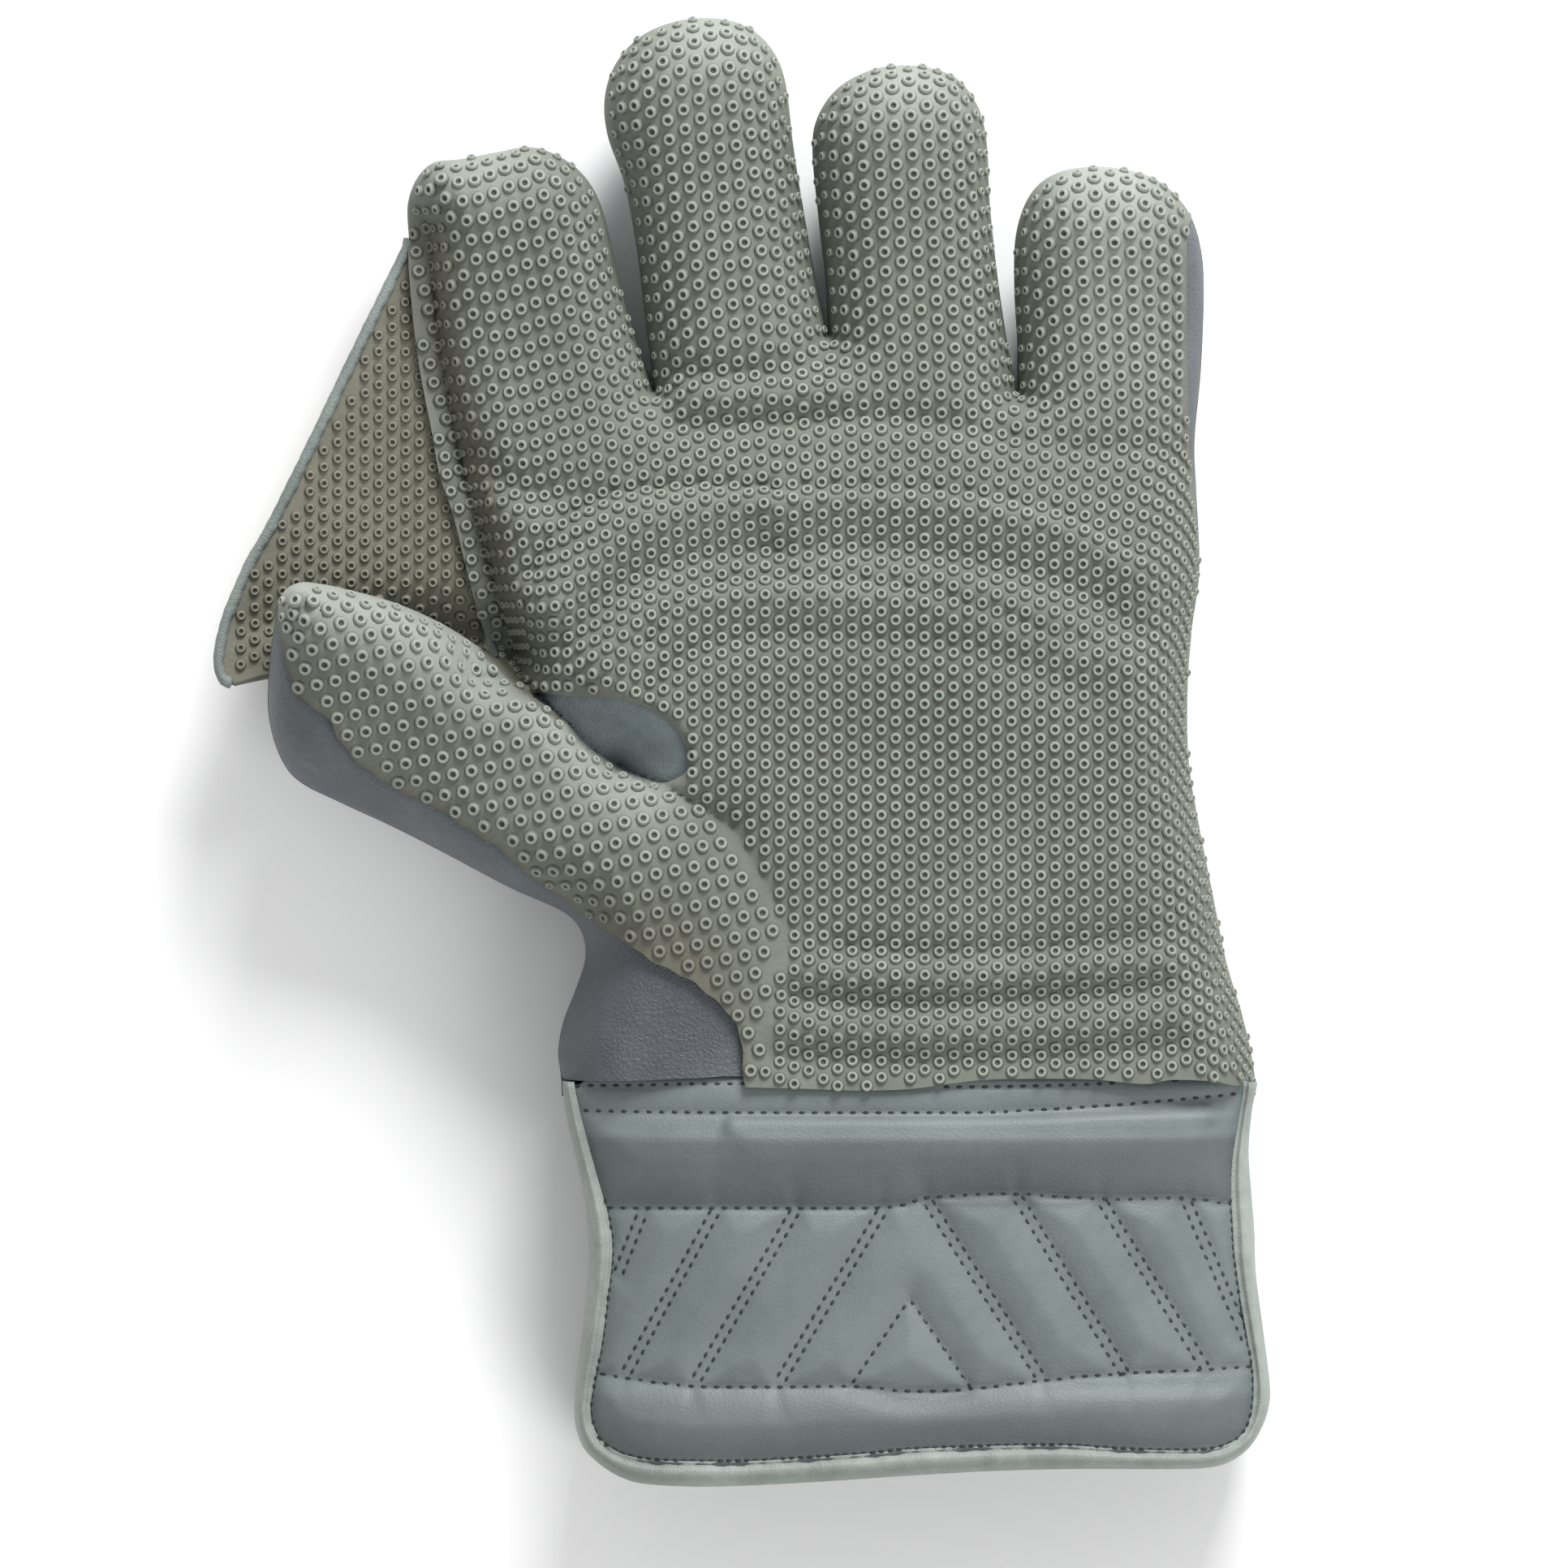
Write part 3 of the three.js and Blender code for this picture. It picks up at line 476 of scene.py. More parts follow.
# %% Meshes from arrays
def new_mesh(name, points, faces, smooth=True):
    """A mesh object from arrays. Faces may be several arrays, each with one number of corners."""
    groups = faces if isinstance(faces, list) else [faces]
    mesh = bpy.data.meshes.new(name)
    mesh.vertices.add(len(points))
    mesh.vertices.foreach_set("co", np.asarray(points, np.float32).ravel())
    corners = np.concatenate([group.ravel() for group in groups]).astype(np.int32)
    sizes = np.concatenate([np.full(len(group), group.shape[1]) for group in groups])
    mesh.loops.add(len(corners))
    mesh.loops.foreach_set("vertex_index", corners)
    mesh.polygons.add(len(sizes))
    mesh.polygons.foreach_set("loop_start", np.concatenate([[0], np.cumsum(sizes)[:-1]]).astype(np.int32))
    mesh.polygons.foreach_set("use_smooth", np.full(len(sizes), smooth))
    mesh.update(calc_edges=True)
    mesh.validate()
    thing = bpy.data.objects.new(name, mesh)
    bpy.context.scene.collection.objects.link(thing)
    return thing


def add_values(thing, name, values):
    """Stores one number per point, which the material reads as an attribute."""
    layer = thing.data.attributes.new(name, "FLOAT", "POINT")
    layer.data.foreach_set("value", np.asarray(values, np.float32))


def thicken(thing, thickness):
    """Solidify gives the sheet its thickness, against its faces' direction, or along it below zero."""
    solid = thing.modifiers.new("thickness", "SOLIDIFY")
    solid.thickness = thickness
    solid.offset = -1
    solid.use_even_offset = False


# %% The hand's grid, cut
def sheet_points(domain):
    """The hand's grid cut to a domain. A point that strayed, as at a sharp corner, goes back. Returns the
    faces, the places on the floor plane, and the distances there."""
    faces, used, where, border = cut_grid(
        GRID, GRID_SHAPE, domain(GRID, near), lambda p: domain(p, hand_distances(p)), GRID_STEP, 4,
    )
    astray = np.linalg.norm(where - GRID[used], axis=1) > 1.5 * GRID_STEP
    where[astray] = GRID[used][astray]
    there = {key: value[used].copy() for key, value in near.items()}
    for key, value in hand_distances(where[border]).items():
        there[key][border] = value
    return faces, where, there


# %% [markdown]
# ## Where rubber ends and leather begins
# The rubber covers palm and fingers. On the thumb, at its base and along the little finger plain leather
# shows instead, and a window of leather fills the fork of the thumb. Each edge is a line of pixels.

# %% Edges of rubber and leather
RUBBER_EDGE = [
    (320, 690), (345, 755), (349, 785), (355, 809), (366, 839), (385, 870), (407, 885), (424, 913),
    (453, 949), (507, 979), (554, 1005), (605, 1038), (655, 1078), (699, 1112), (760, 1154), (810, 1184),
    (860, 1213), (896, 1243), (913, 1280), (917, 1330), (918, 1400),
]
RUBBER_FOOT = [
    (880, 1337), (918, 1337), (1000, 1339), (1060, 1341), (1120, 1339), (1174, 1332), (1227, 1327),
    (1335, 1327), (1407, 1333), (1440, 1328), (1496, 1330), (1518, 1336), (1590, 1337),
]
LITTLE_EDGE = [
    (1510, 250), (1485, 254), (1467, 272), (1462, 310), (1463, 450), (1466, 540), (1474, 620), (1482, 690),
    (1500, 760),
]
WINDOW = [
    (640, 853), (662, 854), (689, 857), (716, 859), (760, 863), (790, 869), (815, 882), (836, 903),
    (849, 930), (846, 950), (822, 964), (800, 961), (760, 943), (723, 918), (696, 887), (662, 862),
    (640, 853),
]
WRIST = [
    (650, 1331), (760, 1330), (860, 1326), (918, 1324), (1100, 1333), (1300, 1328), (1440, 1330),
    (1600, 1335),
]
STRIP_FOOT = 745
RUBBER_OVER_STRIP = 740
UNDERLAP = 2.5 * MM
rubber_edge, rubber_foot = curve_of(RUBBER_EDGE), curve_of(RUBBER_FOOT)
edge_point = np.arange(len(rubber_edge))
edge_waves = 0.2 * MM * (np.sin(edge_point * 1.2) + np.sin(edge_point * 0.47))
rubber_edge = rubber_edge + edge_waves[:, None] * np.array([0.6, 0.8])
little_edge, window_edge, wrist_line = curve_of(LITTLE_EDGE), curve_of(WINDOW), curve_of(WRIST)
print("rubber's edge on the thumb:", round(float(run_along(rubber_edge)[-1]) / MM), "mm long")


# %% Domains of the palm side
def side_of(points, line):
    """Signed distance to an open line: above zero on its left."""
    away, _, _, side = nearest_on(points, line)
    return away * side


def window_field(points):
    """Signed distance to the window's outline, above zero inside."""
    return distance_to(points, window_edge) * np.where(inside_of(points, window_edge), 1, -1)


def rubber_domain(points, distances):
    """Inside the hand, right of the leather's edge, above the foot, left of the strip, outside the window."""
    fields = [distances["inside"], side_of(points, rubber_edge), side_of(points, rubber_foot)]
    strip = side_of(points, little_edge)
    strip = np.where(points[:, 1] < y_at(RUBBER_OVER_STRIP), 1, -strip)
    return np.minimum.reduce(fields + [strip, -window_field(points)])


def leather_domain(points, distances):
    """Inside the hand, left of the rubber's edge plus what lies under the rubber."""
    return np.minimum.reduce([
        distances["inside"], UNDERLAP - side_of(points, rubber_edge), side_of(points, wrist_line),
    ])


def strip_domain(points, distances):
    """Right of the little finger's rubber edge, plus what lies under the rubber."""
    strip = side_of(points, little_edge) + UNDERLAP
    return np.minimum.reduce([distances["inside"], strip, points[:, 1] - y_at(STRIP_FOOT)])


def gusset_domain(points, distances):
    """The window and what lies under its rim."""
    return np.minimum(window_field(points) + UNDERLAP, distances["inside"])


# %% [markdown]
# ## Building the sheets of the hand
# Rubber, thumb leather, the leather strip and the window's leather all take the palm's height, some a
# little lower, so they lie on one another as sewn layers do. Round the window the rubber rolls down.

# %% Palm-side sheets
RUBBER_THICK = 2.0 * MM
LEATHER_THICK = 1.2 * MM
WINDOW_DROP = 1.7 * MM
WINDOW_ROLL = 2.4 * MM
LEATHER_DROP = 1.7 * MM
GUSSET_DROP = 1.6 * MM
GUSSET_HOLLOW = 1.8 * MM


def rubber_surface(points, distances):
    """The palm's height, rolling down a quarter circle on the way to the window."""
    to_window = -window_field(points)
    return palm_height(points, distances) - WINDOW_DROP * (1 - round_side(to_window, WINDOW_ROLL))


def leather_surface(points, distances):
    """The palm's height less most of the rubber's thickness, because the rubber lies on the leather."""
    return palm_height(points, distances) - LEATHER_DROP


def gusset_surface(points, distances):
    """Below the rolled-down rim of the window, with a shallow hollow and soft pulls in it, a sine wave."""
    deep = smoothstep(0, 9 * MM, window_field(points))
    run = (points - place((700, 880))) @ np.array([0.86, -0.5])
    pulls = 0.5 * MM * np.sin(run / (3.4 * MM)) * deep
    return palm_height(points, distances) - WINDOW_DROP - GUSSET_DROP - GUSSET_HOLLOW * deep + pulls


# %% Wear and painted light and shade of rubber and leather
# how pale (above zero) or dark (below) the rubber is, the width in mm and the pixels of each line: the thumb's
# upper edge, rubbed pale and with a painted highlight; the valley beside the web, painted shade; the little
# finger, a painted highlight; and the index finger, painted shade
PALE_AND_DARK_LINES = [
    (0.8, 9, [(365, 728), (420, 738), (480, 755), (560, 800), (640, 846), (700, 905), (790, 965)]),
    (-0.9, 5, [(536, 285), (540, 400), (554, 460), (584, 555), (606, 650), (628, 745), (655, 835)]),
    (0.45, 14, [(1365, 240), (1385, 330), (1385, 430)]),
    (-0.3, 13, [(600, 270), (660, 400), (720, 520)]),
]
# painted shadow under the thumb's edge in the fork, painted shade on the leather beside the little finger and
# round the thumb's base
DARK_FORK = [(598, 803), (640, 838), (662, 856), (690, 882)]
DARK_STRIP = [(1466, 300), (1478, 400), (1480, 500), (1474, 560)]
DARK_BASE = (790, 1240)
pale_and_dark_lines = [(amount, wide * MM, curve_of(pixels)) for amount, wide, pixels in PALE_AND_DARK_LINES]
dark_fork, dark_strip = curve_of(DARK_FORK), curve_of(DARK_STRIP)


def wear_and_painted_light_at(points):
    """Above zero where the rubber is paler: rubbed pale and with a painted highlight at the fingertips and
    along the thumb's upper edge, and a painted highlight along the little finger. Below zero for painted
    shade: in the index finger's valley and over the index finger, a painted shadow under the thumb's edge and
    along the rubber's edge, and painted shade in the leather of the thumb's base and the little finger. Each
    place adds or holds down a bell of its distance."""
    to_tip = np.linalg.norm(points[:, None] - (FINGER_TIPS - [0, 6 * MM]), axis=2).min(1)
    # paler at the fingertips: partly rubbed, partly a painted highlight
    paleness = 0.9 * bell(to_tip, 13 * MM)
    for amount, wide, line in pale_and_dark_lines:
        paleness += amount * bell(distance_to(points, line), wide)
    # painted shade round the thumb's base and beside the little finger, a thin painted shadow along the
    # rubber's edge, and one under the thumb's edge
    painted_shade = np.maximum.reduce([
        bell(np.linalg.norm(points - place(DARK_BASE), axis=1), 24 * MM, 4),
        0.55 * bell(distance_to(points, dark_strip), 4 * MM),
        bell(distance_to(points, rubber_edge), 0.8 * MM),
        1.8 * bell(distance_to(points, dark_fork), 0.9 * MM),
    ])
    return np.clip(paleness, -1, 1) - painted_shade


# %% Sheets of the hand
CRISP_ANGLE = np.radians(62)


def hand_sheet(name, domain, surface, thickness):
    """A sheet of the hand: flat points from the domain, heights from the surface, and a thickness towards
    the hollow, which is down from the palm side and, below zero, up from the back."""
    faces, flat, distances = sheet_points(domain)
    height = surface(flat, distances)
    thing = new_mesh(name, np.column_stack([flat, height]), faces)
    add_values(thing, "fold", fold_height(flat) / MM)
    # paler where rubbed and where a highlight is painted, darker where shade is painted, as the material reads
    # it
    add_values(thing, "wear_and_painted_light", wear_and_painted_light_at(flat))
    thicken(thing, thickness)
    crisp = thing.modifiers.new("crisp rim", "EDGE_SPLIT")
    crisp.split_angle = CRISP_ANGLE
    print(name, "has", len(faces), "faces; top at", round(float(height.max()) / MM, 1), "mm")
    return thing


rubber = hand_sheet("rubber_facing", rubber_domain, rubber_surface, RUBBER_THICK)
leather = hand_sheet("thumb_and_base_leather", leather_domain, leather_surface, LEATHER_THICK)
strip = hand_sheet("little_finger_leather", strip_domain, leather_surface, LEATHER_THICK)
gusset = hand_sheet("fork_gusset_leather", gusset_domain, gusset_surface, LEATHER_THICK)

# %% [markdown]
# ## The back of the hand
# The photo shows only the palm side, so the back is plain leather: the same outline, rounding down to the
# surface that the glove lies on. Leather gives where it rests, so its underside is cut off flat at zero.

# %% Back of the hand
BACK_RISE_FINGER = 17.0 * MM
BACK_RISE_PALM = 20.0 * MM
BACK_UNDER_CUFF = 6 * MM


def back_domain(points, distances):
    """The whole hand above the wrist, with a little more under the cuff."""
    return np.minimum(distances["inside"], side_of(points, wrist_line) + BACK_UNDER_CUFF)


def back_surface(points, distances):
    """Seam height less a rounded depth, never below the surface that the glove lies on."""
    in_palm = 1 - smoothstep(y_at(THUMB_TOP), y_at(FINGERS_START), points[:, 1])
    depth = BACK_RISE_FINGER + (BACK_RISE_PALM - BACK_RISE_FINGER) * in_palm
    edge = np.minimum(distances["rounded"], distances["seam"])
    return np.maximum(seam_height(points) - depth * round_side(edge, ROLL), 0)


back = hand_sheet("back_of_the_hand", back_domain, back_surface, -LEATHER_THICK)

# %% [markdown]
# ## Materials from plain expressions
# A shader is a set of formulas over the surface. A small class wraps a node's output, so that formulas can
# be written as in Python and each operator becomes a Math node. Every other node comes from one method.

# %% Shader formulas
class Wire:
    """An output socket that can be used in formulas."""

    def __init__(self, graph, socket):
        self.graph = graph
        self.socket = socket

    def __add__(self, other):
        return self.graph.math("ADD", self, other)

    def __sub__(self, other):
        return self.graph.math("SUBTRACT", self, other)

    def __mul__(self, other):
        return self.graph.math("MULTIPLY", self, other)

    def __radd__(self, other):
        return self.graph.math("ADD", other, self)

    def __rsub__(self, other):
        return self.graph.math("SUBTRACT", other, self)

    def __rmul__(self, other):
        return self.graph.math("MULTIPLY", other, self)

    def __neg__(self):
        return self.graph.math("MULTIPLY", self, -1.0)


# %% A material and its nodes
class Shader:
    """One material: its nodes are made here and joined as formulas say."""

    def __init__(self, name):
        self.material = bpy.data.materials.new(name)
        self.material.use_nodes = True
        self.tree = self.material.node_tree
        self.surface = self.tree.nodes["Principled BSDF"]
        self.place = self.node("ShaderNodeTexCoord", out="Object")

    def connect(self, socket, value):
        """A link where the value is a wire, otherwise the socket's own value."""
        if isinstance(value, Wire):
            self.tree.links.new(value.socket, socket)
        else:
            socket.default_value = value

    def node(self, kind, out=0, settings=None, **inputs):
        """A node of one type with its settings and inputs, as a wire from one output."""
        node = self.tree.nodes.new(kind)
        for key, value in (settings or {}).items():
            setattr(node, key, value)
        for key, value in inputs.items():
            name = key.replace("_", " ")
            self.connect(node.inputs[int(key[1:])] if key[1:].isdigit() else node.inputs[name], value)
        return Wire(self, node.outputs[out])

    def math(self, operation, *values):
        """A Math node of one operation."""
        node = self.tree.nodes.new("ShaderNodeMath")
        node.operation = operation
        for socket, value in zip(node.inputs, values):
            self.connect(socket, value)
        return Wire(self, node.outputs[0])

    def clamp(self, value):
        """The value kept between 0 and 1."""
        return self.math("MINIMUM", self.math("MAXIMUM", value, 0.0), 1.0)

    def step(self, low, high, value):
        """Smoothstep between two values, as a Map Range node."""
        return self.node(
            "ShaderNodeMapRange", settings={"interpolation_type": "SMOOTHSTEP"},
            Value=value, From_Min=low, From_Max=high,
        )

    def noise(self, size, detail=3.0, roughness=0.55, stretch=(1, 1, 1), shift=0.0):
        """Noise with features of a size in metres, about 0.5 in the middle."""
        spot = self.node(
            "ShaderNodeVectorMath", settings={"operation": "MULTIPLY_ADD"},
            i0=self.place, i1=stretch, i2=(shift, shift, 0),
        )
        return self.node(
            "ShaderNodeTexNoise", out="Fac", Vector=spot, Scale=1 / size, Detail=detail, Roughness=roughness,
        )

    def cells(self, size):
        """Distance to the nearest edge of Voronoi cells of a size in metres."""
        return self.node(
            "ShaderNodeTexVoronoi", out="Distance", settings={"feature": "DISTANCE_TO_EDGE"},
            Vector=self.place, Scale=1 / size,
        )

    def mix(self, share, first, second):
        """A colour between two colours."""
        node = self.tree.nodes.new("ShaderNodeMix")
        node.data_type = "RGBA"
        self.connect(node.inputs["Factor"], share)
        self.connect(node.inputs[6], first)
        self.connect(node.inputs[7], second)
        return Wire(self, node.outputs[2])

    def attribute(self, name):
        """A number stored on the mesh's points."""
        return self.node("ShaderNodeAttribute", out="Fac", settings={"attribute_name": name})

    def bump(self, height, distance):
        """A normal from a height; distance is the height of 1, in metres."""
        return self.node("ShaderNodeBump", Height=height, Distance=distance, Strength=1.0)

    def finish(self, colour, roughness, normal=None):
        """Joins the formulas to the surface's own sockets."""
        self.connect(self.surface.inputs["Base Color"], colour)
        self.connect(self.surface.inputs["Roughness"], roughness)
        if normal is not None:
            self.connect(self.surface.inputs["Normal"], normal)
        return self.material


def tone(red, green, blue):
    """A colour read off the photo, 0 to 255, as the linear colour that a shader takes."""
    share = np.array([red, green, blue]) / 255
    linear = np.where(share <= 0.04045, share / 12.92, ((share + 0.055) / 1.055)**2.4)
    return (*[round(float(v), 4) for v in linear], 1.0)


# %% [markdown]
# ## Sweeping a profile along an edge
# Bindings are leather tape folded over an edge. A binding is a closed profile carried along the edge: at
# every station the profile's points are placed by how far in from the edge and how high they are. Pimples
# and stitches are tubes of rings too, so one function gives the faces of all three.

# %% Rings to faces
def tube_faces(tubes, rings, corners):
    """Faces of some tubes, each of rings of points laid end to end: four-cornered faces between two rings,
    and one face that closes each end."""
    ring = np.arange(corners)
    after = np.roll(ring, -1)
    start = np.arange(tubes)[:, None] * rings * corners
    first = (start + np.arange(rings - 1) * corners).reshape(-1, 1)
    beyond = first + corners
    sides = np.stack([first + ring, beyond + ring, beyond + after, first + after], axis=-1)
    ends = np.concatenate([start + ring, start + (rings - 1) * corners + ring[::-1]])
    return [sides.reshape(-1, 4), ends]


def sweep(name, stations):
    """A tube through an array of rings, each ring a closed profile in space."""
    return new_mesh(name, stations.reshape(-1, 3), tube_faces(1, *stations.shape[:2]))


def inward_of(line):
    """Unit normals on the left of a line of points in the plane, by central differences."""
    along = unit(np.gradient(line, axis=0))
    return np.column_stack([-along[:, 1], along[:, 0]])


# %% [markdown]
# ## The web
# The web is a rubber-faced panel sewn to the side of the index finger and held out by the thumb. Its free
# edge is bound. It is a ruled surface between the seam and the free edge that sags a little, because it is
# made to catch a ball. At the seam it goes under the finger's flange.

# %% Web surface
WEB_FREE_EDGE = [
    WEB_TOP, (468, 362), (430, 440), (392, 520), (357, 592), (328, 650), (305, 690), (286, 733), (273, 768),
    (265, 812), (271, 838), (283, 846),
]
WEB_SAG = 3.0 * MM
WEB_BEND = 7.5 * MM
WEB_COLUMNS = 70
WEB_THICK = 2.0 * MM
UNDER_FLANGE = 3 * MM
WEB_INSIDE_TAPE = 0.985

SEAM_TAIL = np.array([28, -38]) * PIXEL
web_free = curve_of(WEB_FREE_EDGE, 0.9 * MM)
web_rows = len(web_free)
seam_and_on = np.vstack([seam_line, seam_line[-1] + np.linspace(0.1, 1, 8)[:, None] * SEAM_TAIL])
seam_run = np.linspace(0, len(seam_and_on) - 1, web_rows)
web_seam = walk(seam_and_on, np.arange(len(seam_and_on)), seam_run)
under_flange = web_seam + np.array([UNDER_FLANGE, 0])
on_flange = web_seam + [0.6 * MM, 0]
web_start_height = palm_height(on_flange, hand_distances(on_flange)) - 2.6 * MM
web_down = np.linspace(0, 1, web_rows)
web_edge_height = (24.6 + 4.2 * web_down**0.8) * MM


def web_point(share, row):
    """A place on the web: share runs from the seam, 0, to the free edge, 1, along one row."""
    flat = under_flange[row] * (1 - share)[..., None] + web_free[row] * share[..., None]
    late = smoothstep(0.8, 1, web_down[row])
    flat[..., 1] += WEB_BEND * np.sin(np.pi * share) * share * late
    width = np.linalg.norm(web_free[row] - under_flange[row], axis=-1)
    sag = WEB_SAG * np.sin(np.pi * share)**1.3 * smoothstep(0, 40 * MM, width)
    start = web_start_height[row] + 0.3 * MM
    height = start * (1 - share) + web_edge_height[row] * share - sag
    return np.concatenate([flat, height[..., None]], axis=-1)


share_grid, row_grid = np.meshgrid(np.linspace(0, WEB_INSIDE_TAPE, WEB_COLUMNS), np.arange(web_rows))
web_points = web_point(share_grid, row_grid)
web = new_mesh("web_panel_rubber", web_points.reshape(-1, 3), grid_faces(web_rows, WEB_COLUMNS))
add_values(web, "fold", np.zeros(web_points.shape[0] * WEB_COLUMNS))
thicken(web, WEB_THICK)
print("web rows:", web_rows, "width there, mm:", round(float(np.ptp(web_points[..., 0])) / MM, 1))

# %% Web binding
# how far in from the edge, in mm, and how high over the web, in mm, round the folded tape
TAPE_PROFILE = np.array([
    (-0.5, -0.2), (-0.35, 0.55), (0.1, 0.95), (0.7, 1.0), (1.3, 0.8), (1.75, 0.3), (1.8, -0.2), (1.7, -2.2),
    (0.8, -2.6), (-0.1, -2.2), (-0.45, -1.2),
]) * MM
edge_rows = np.arange(web_rows)
edge_place = web_point(np.ones(web_rows), edge_rows)
edge_inward = inward_of(edge_place[:, :2])
pucker = 1 + 0.08 * np.sin(edge_rows * 1.7) + 0.06 * np.sin(edge_rows * 0.61)
tape = np.empty((web_rows, len(TAPE_PROFILE), 3))
tape_in = edge_inward[:, None, :] * TAPE_PROFILE[None, :, :1] * pucker[:, None, None]
tape[..., :2] = edge_place[:, None, :2] + tape_in
tape[..., 2] = edge_place[:, None, 2] + TAPE_PROFILE[None, :, 1]
web_tape = sweep("web_edge_tape", tape)
print("tape from", np.round(edge_place[0] / MM, 1), "to", np.round(edge_place[-1] / MM, 1))

# %% [markdown]
# ## The cuff's front
# The cuff is a padded leather tube lying flat. Its front is an oval height over the photo's plane, with
# padding on top. Every seam pulls the padding down to the panel, and between seams it puffs up, so the puff
# grows with the distance to the nearest seam. A bar of piping lies under the welt, and the seams are double
# rows that lean towards a small triangle in the middle.

# %% Cuff outline and height
CUFF_LEFT = [
    (692, 1333), (693, 1348), (699, 1385), (711, 1437), (721, 1490), (725, 1545), (722, 1600), (716, 1650),
    (709, 1700), (707, 1745), (712, 1772), (722, 1790), (742, 1806), (768, 1819), (800, 1826),
]
CUFF_MOUTH = [(800, 1826), (880, 1828), (1000, 1822), (1120, 1814), (1228, 1808), (1335, 1806), (1443, 1807)]
CUFF_RIGHT = [
    (1443, 1807), (1485, 1806), (1513, 1800), (1539, 1784), (1556, 1760), (1565, 1735), (1566, 1705),
    (1557, 1633), (1549, 1570), (1547, 1515), (1543, 1465), (1540, 1418), (1544, 1370), (1549, 1345),
    (1551, 1335),
]
TAPE_LINE = [
    (704, 1296), (708, 1340), (722, 1400), (738, 1457), (750, 1500), (754, 1542), (748, 1600), (740, 1660),
    (732, 1700), (727, 1738), (737, 1768), (757, 1784), (782, 1792), (821, 1796), (917, 1796), (1000, 1791),
    (1071, 1786), (1120, 1781), (1220, 1777), (1306, 1776), (1364, 1780), (1425, 1783), (1480, 1783),
    (1513, 1776), (1533, 1760), (1543, 1728), (1543, 1687), (1536, 1645), (1528, 1600), (1521, 1551),
    (1518, 1505), (1516, 1460), (1518, 1425), (1525, 1384), (1531, 1345), (1533, 1296),
]
cuff_edge = curve_of(CUFF_LEFT + CUFF_MOUTH[1:] + CUFF_RIGHT[1:], 1.4 * MM)
tape_line = curve_of(TAPE_LINE)
cuff_sides = [curve_of(CUFF_LEFT[:9] + [(706, 1840)]), curve_of([(1566, 1850)] + CUFF_RIGHT[6:])]

CUFF_MIDDLE = 23 * MM
CUFF_RISE = 20.3 * MM
CUFF_DROP = 24.2 * MM
CUFF_POWER = 3.2
OVAL_MARGIN = 1.5 * MM


def cuff_oval(points):
    """Superellipse across the cuff: (1 - |x / a|^p)^(1/p), with x from the middle between both sides."""
    left = np.interp(-points[:, 1], -cuff_sides[0][:, 1], cuff_sides[0][:, 0])
    right = np.interp(points[:, 1], cuff_sides[1][:, 1], cuff_sides[1][:, 0])
    across = (2 * points[:, 0] - left - right) / (right - left + OVAL_MARGIN)
    return np.clip(1 - np.abs(across)**CUFF_POWER, 0, 1)**(1 / CUFF_POWER)


# %% Seams of the cuff
WELT_HIGH = [(705, 1337), (760, 1336), (915, 1333), (1156, 1337), (1300, 1335), (1425, 1331), (1532, 1327)]
WELT_LOW = [(715, 1367), (900, 1368), (1120, 1368), (1230, 1367), (1371, 1359), (1450, 1353), (1532, 1346)]
UPPER_SEAM = [
    (745, 1487), (900, 1485), (1088, 1484), (1145, 1472), (1250, 1468), (1353, 1474), (1460, 1474),
    (1520, 1483),
]
LOWER_SEAM = [
    (736, 1690), (846, 1703), (950, 1704), (1046, 1703), (1120, 1709), (1190, 1707), (1274, 1697),
    (1378, 1688), (1540, 1682),
]
DOUBLE_SEAMS = [
    [(792, 1493), (762, 1568)], [(883, 1487), (771, 1691)], [(981, 1486), (855, 1702)],
    [(1087, 1487), (958, 1702)], [(1141, 1475), (1281, 1693)], [(1251, 1470), (1382, 1686)],
    [(1355, 1476), (1484, 1684)], [(1459, 1476), (1533, 1646)],
]
CHEVRON = [(1048, 1702), (1120, 1596), (1194, 1704)]
CHEVRON_FOOT = [(1046, 1704), (1078, 1716), (1115, 1722), (1150, 1718), (1188, 1708)]
PIPING = [(905, 1385), (1000, 1385), (1120, 1385), (1240, 1384), (1360, 1379), (1440, 1374), (1486, 1371)]
DOUBLE_GAP = 11 * PIXEL

straight_seams = [curve_of(line) for line in (WELT_HIGH, WELT_LOW, UPPER_SEAM, LOWER_SEAM)]
chevron_legs = [curve_of(CHEVRON[:2]), curve_of(CHEVRON[1:])]
double_lines = [curve_of(line) for line in DOUBLE_SEAMS]
piping_line = curve_of(PIPING)
chevron_foot = curve_of(CHEVRON_FOOT)
print("seams of the cuff:", len(straight_seams), "straight,", len(double_lines), "doubled and a chevron")

# %% Padding of the cuff
# the rows and columns of the photo, in pixels, over which each part of the padding starts or ends
WELT_FOOT = (1366, 1372)
ROLL_TOP, ROLL_FOOT = (1392, 1404), (1478, 1486)
QUILT_TOP = (1470, 1500)
LOW_ROLL_TOP = (1700, 1722)
HAND_SEAM = (1317, 1331)
PIPING_START, PIPING_END = (880, 925), (1465, 1500)
# heights in mm: the quilted puff, what the rolls add to it, what the welt lacks, and smaller steps
PUFF, LOW_ROLL, HIGH_ROLL, WELT_LACKS = 2.2, 1.3, 0.6, 1.7
PIPING_BAR, THREAD_SINK, SEAM_SINK, CHEVRON_SINK = 1.5, 0.4, 2.6, 0.6


def on_high_roll(row):
    """1 on the padded roll below the piping, by row of the photo."""
    return smoothstep(*ROLL_TOP, row) * (1 - smoothstep(*ROLL_FOOT, row))


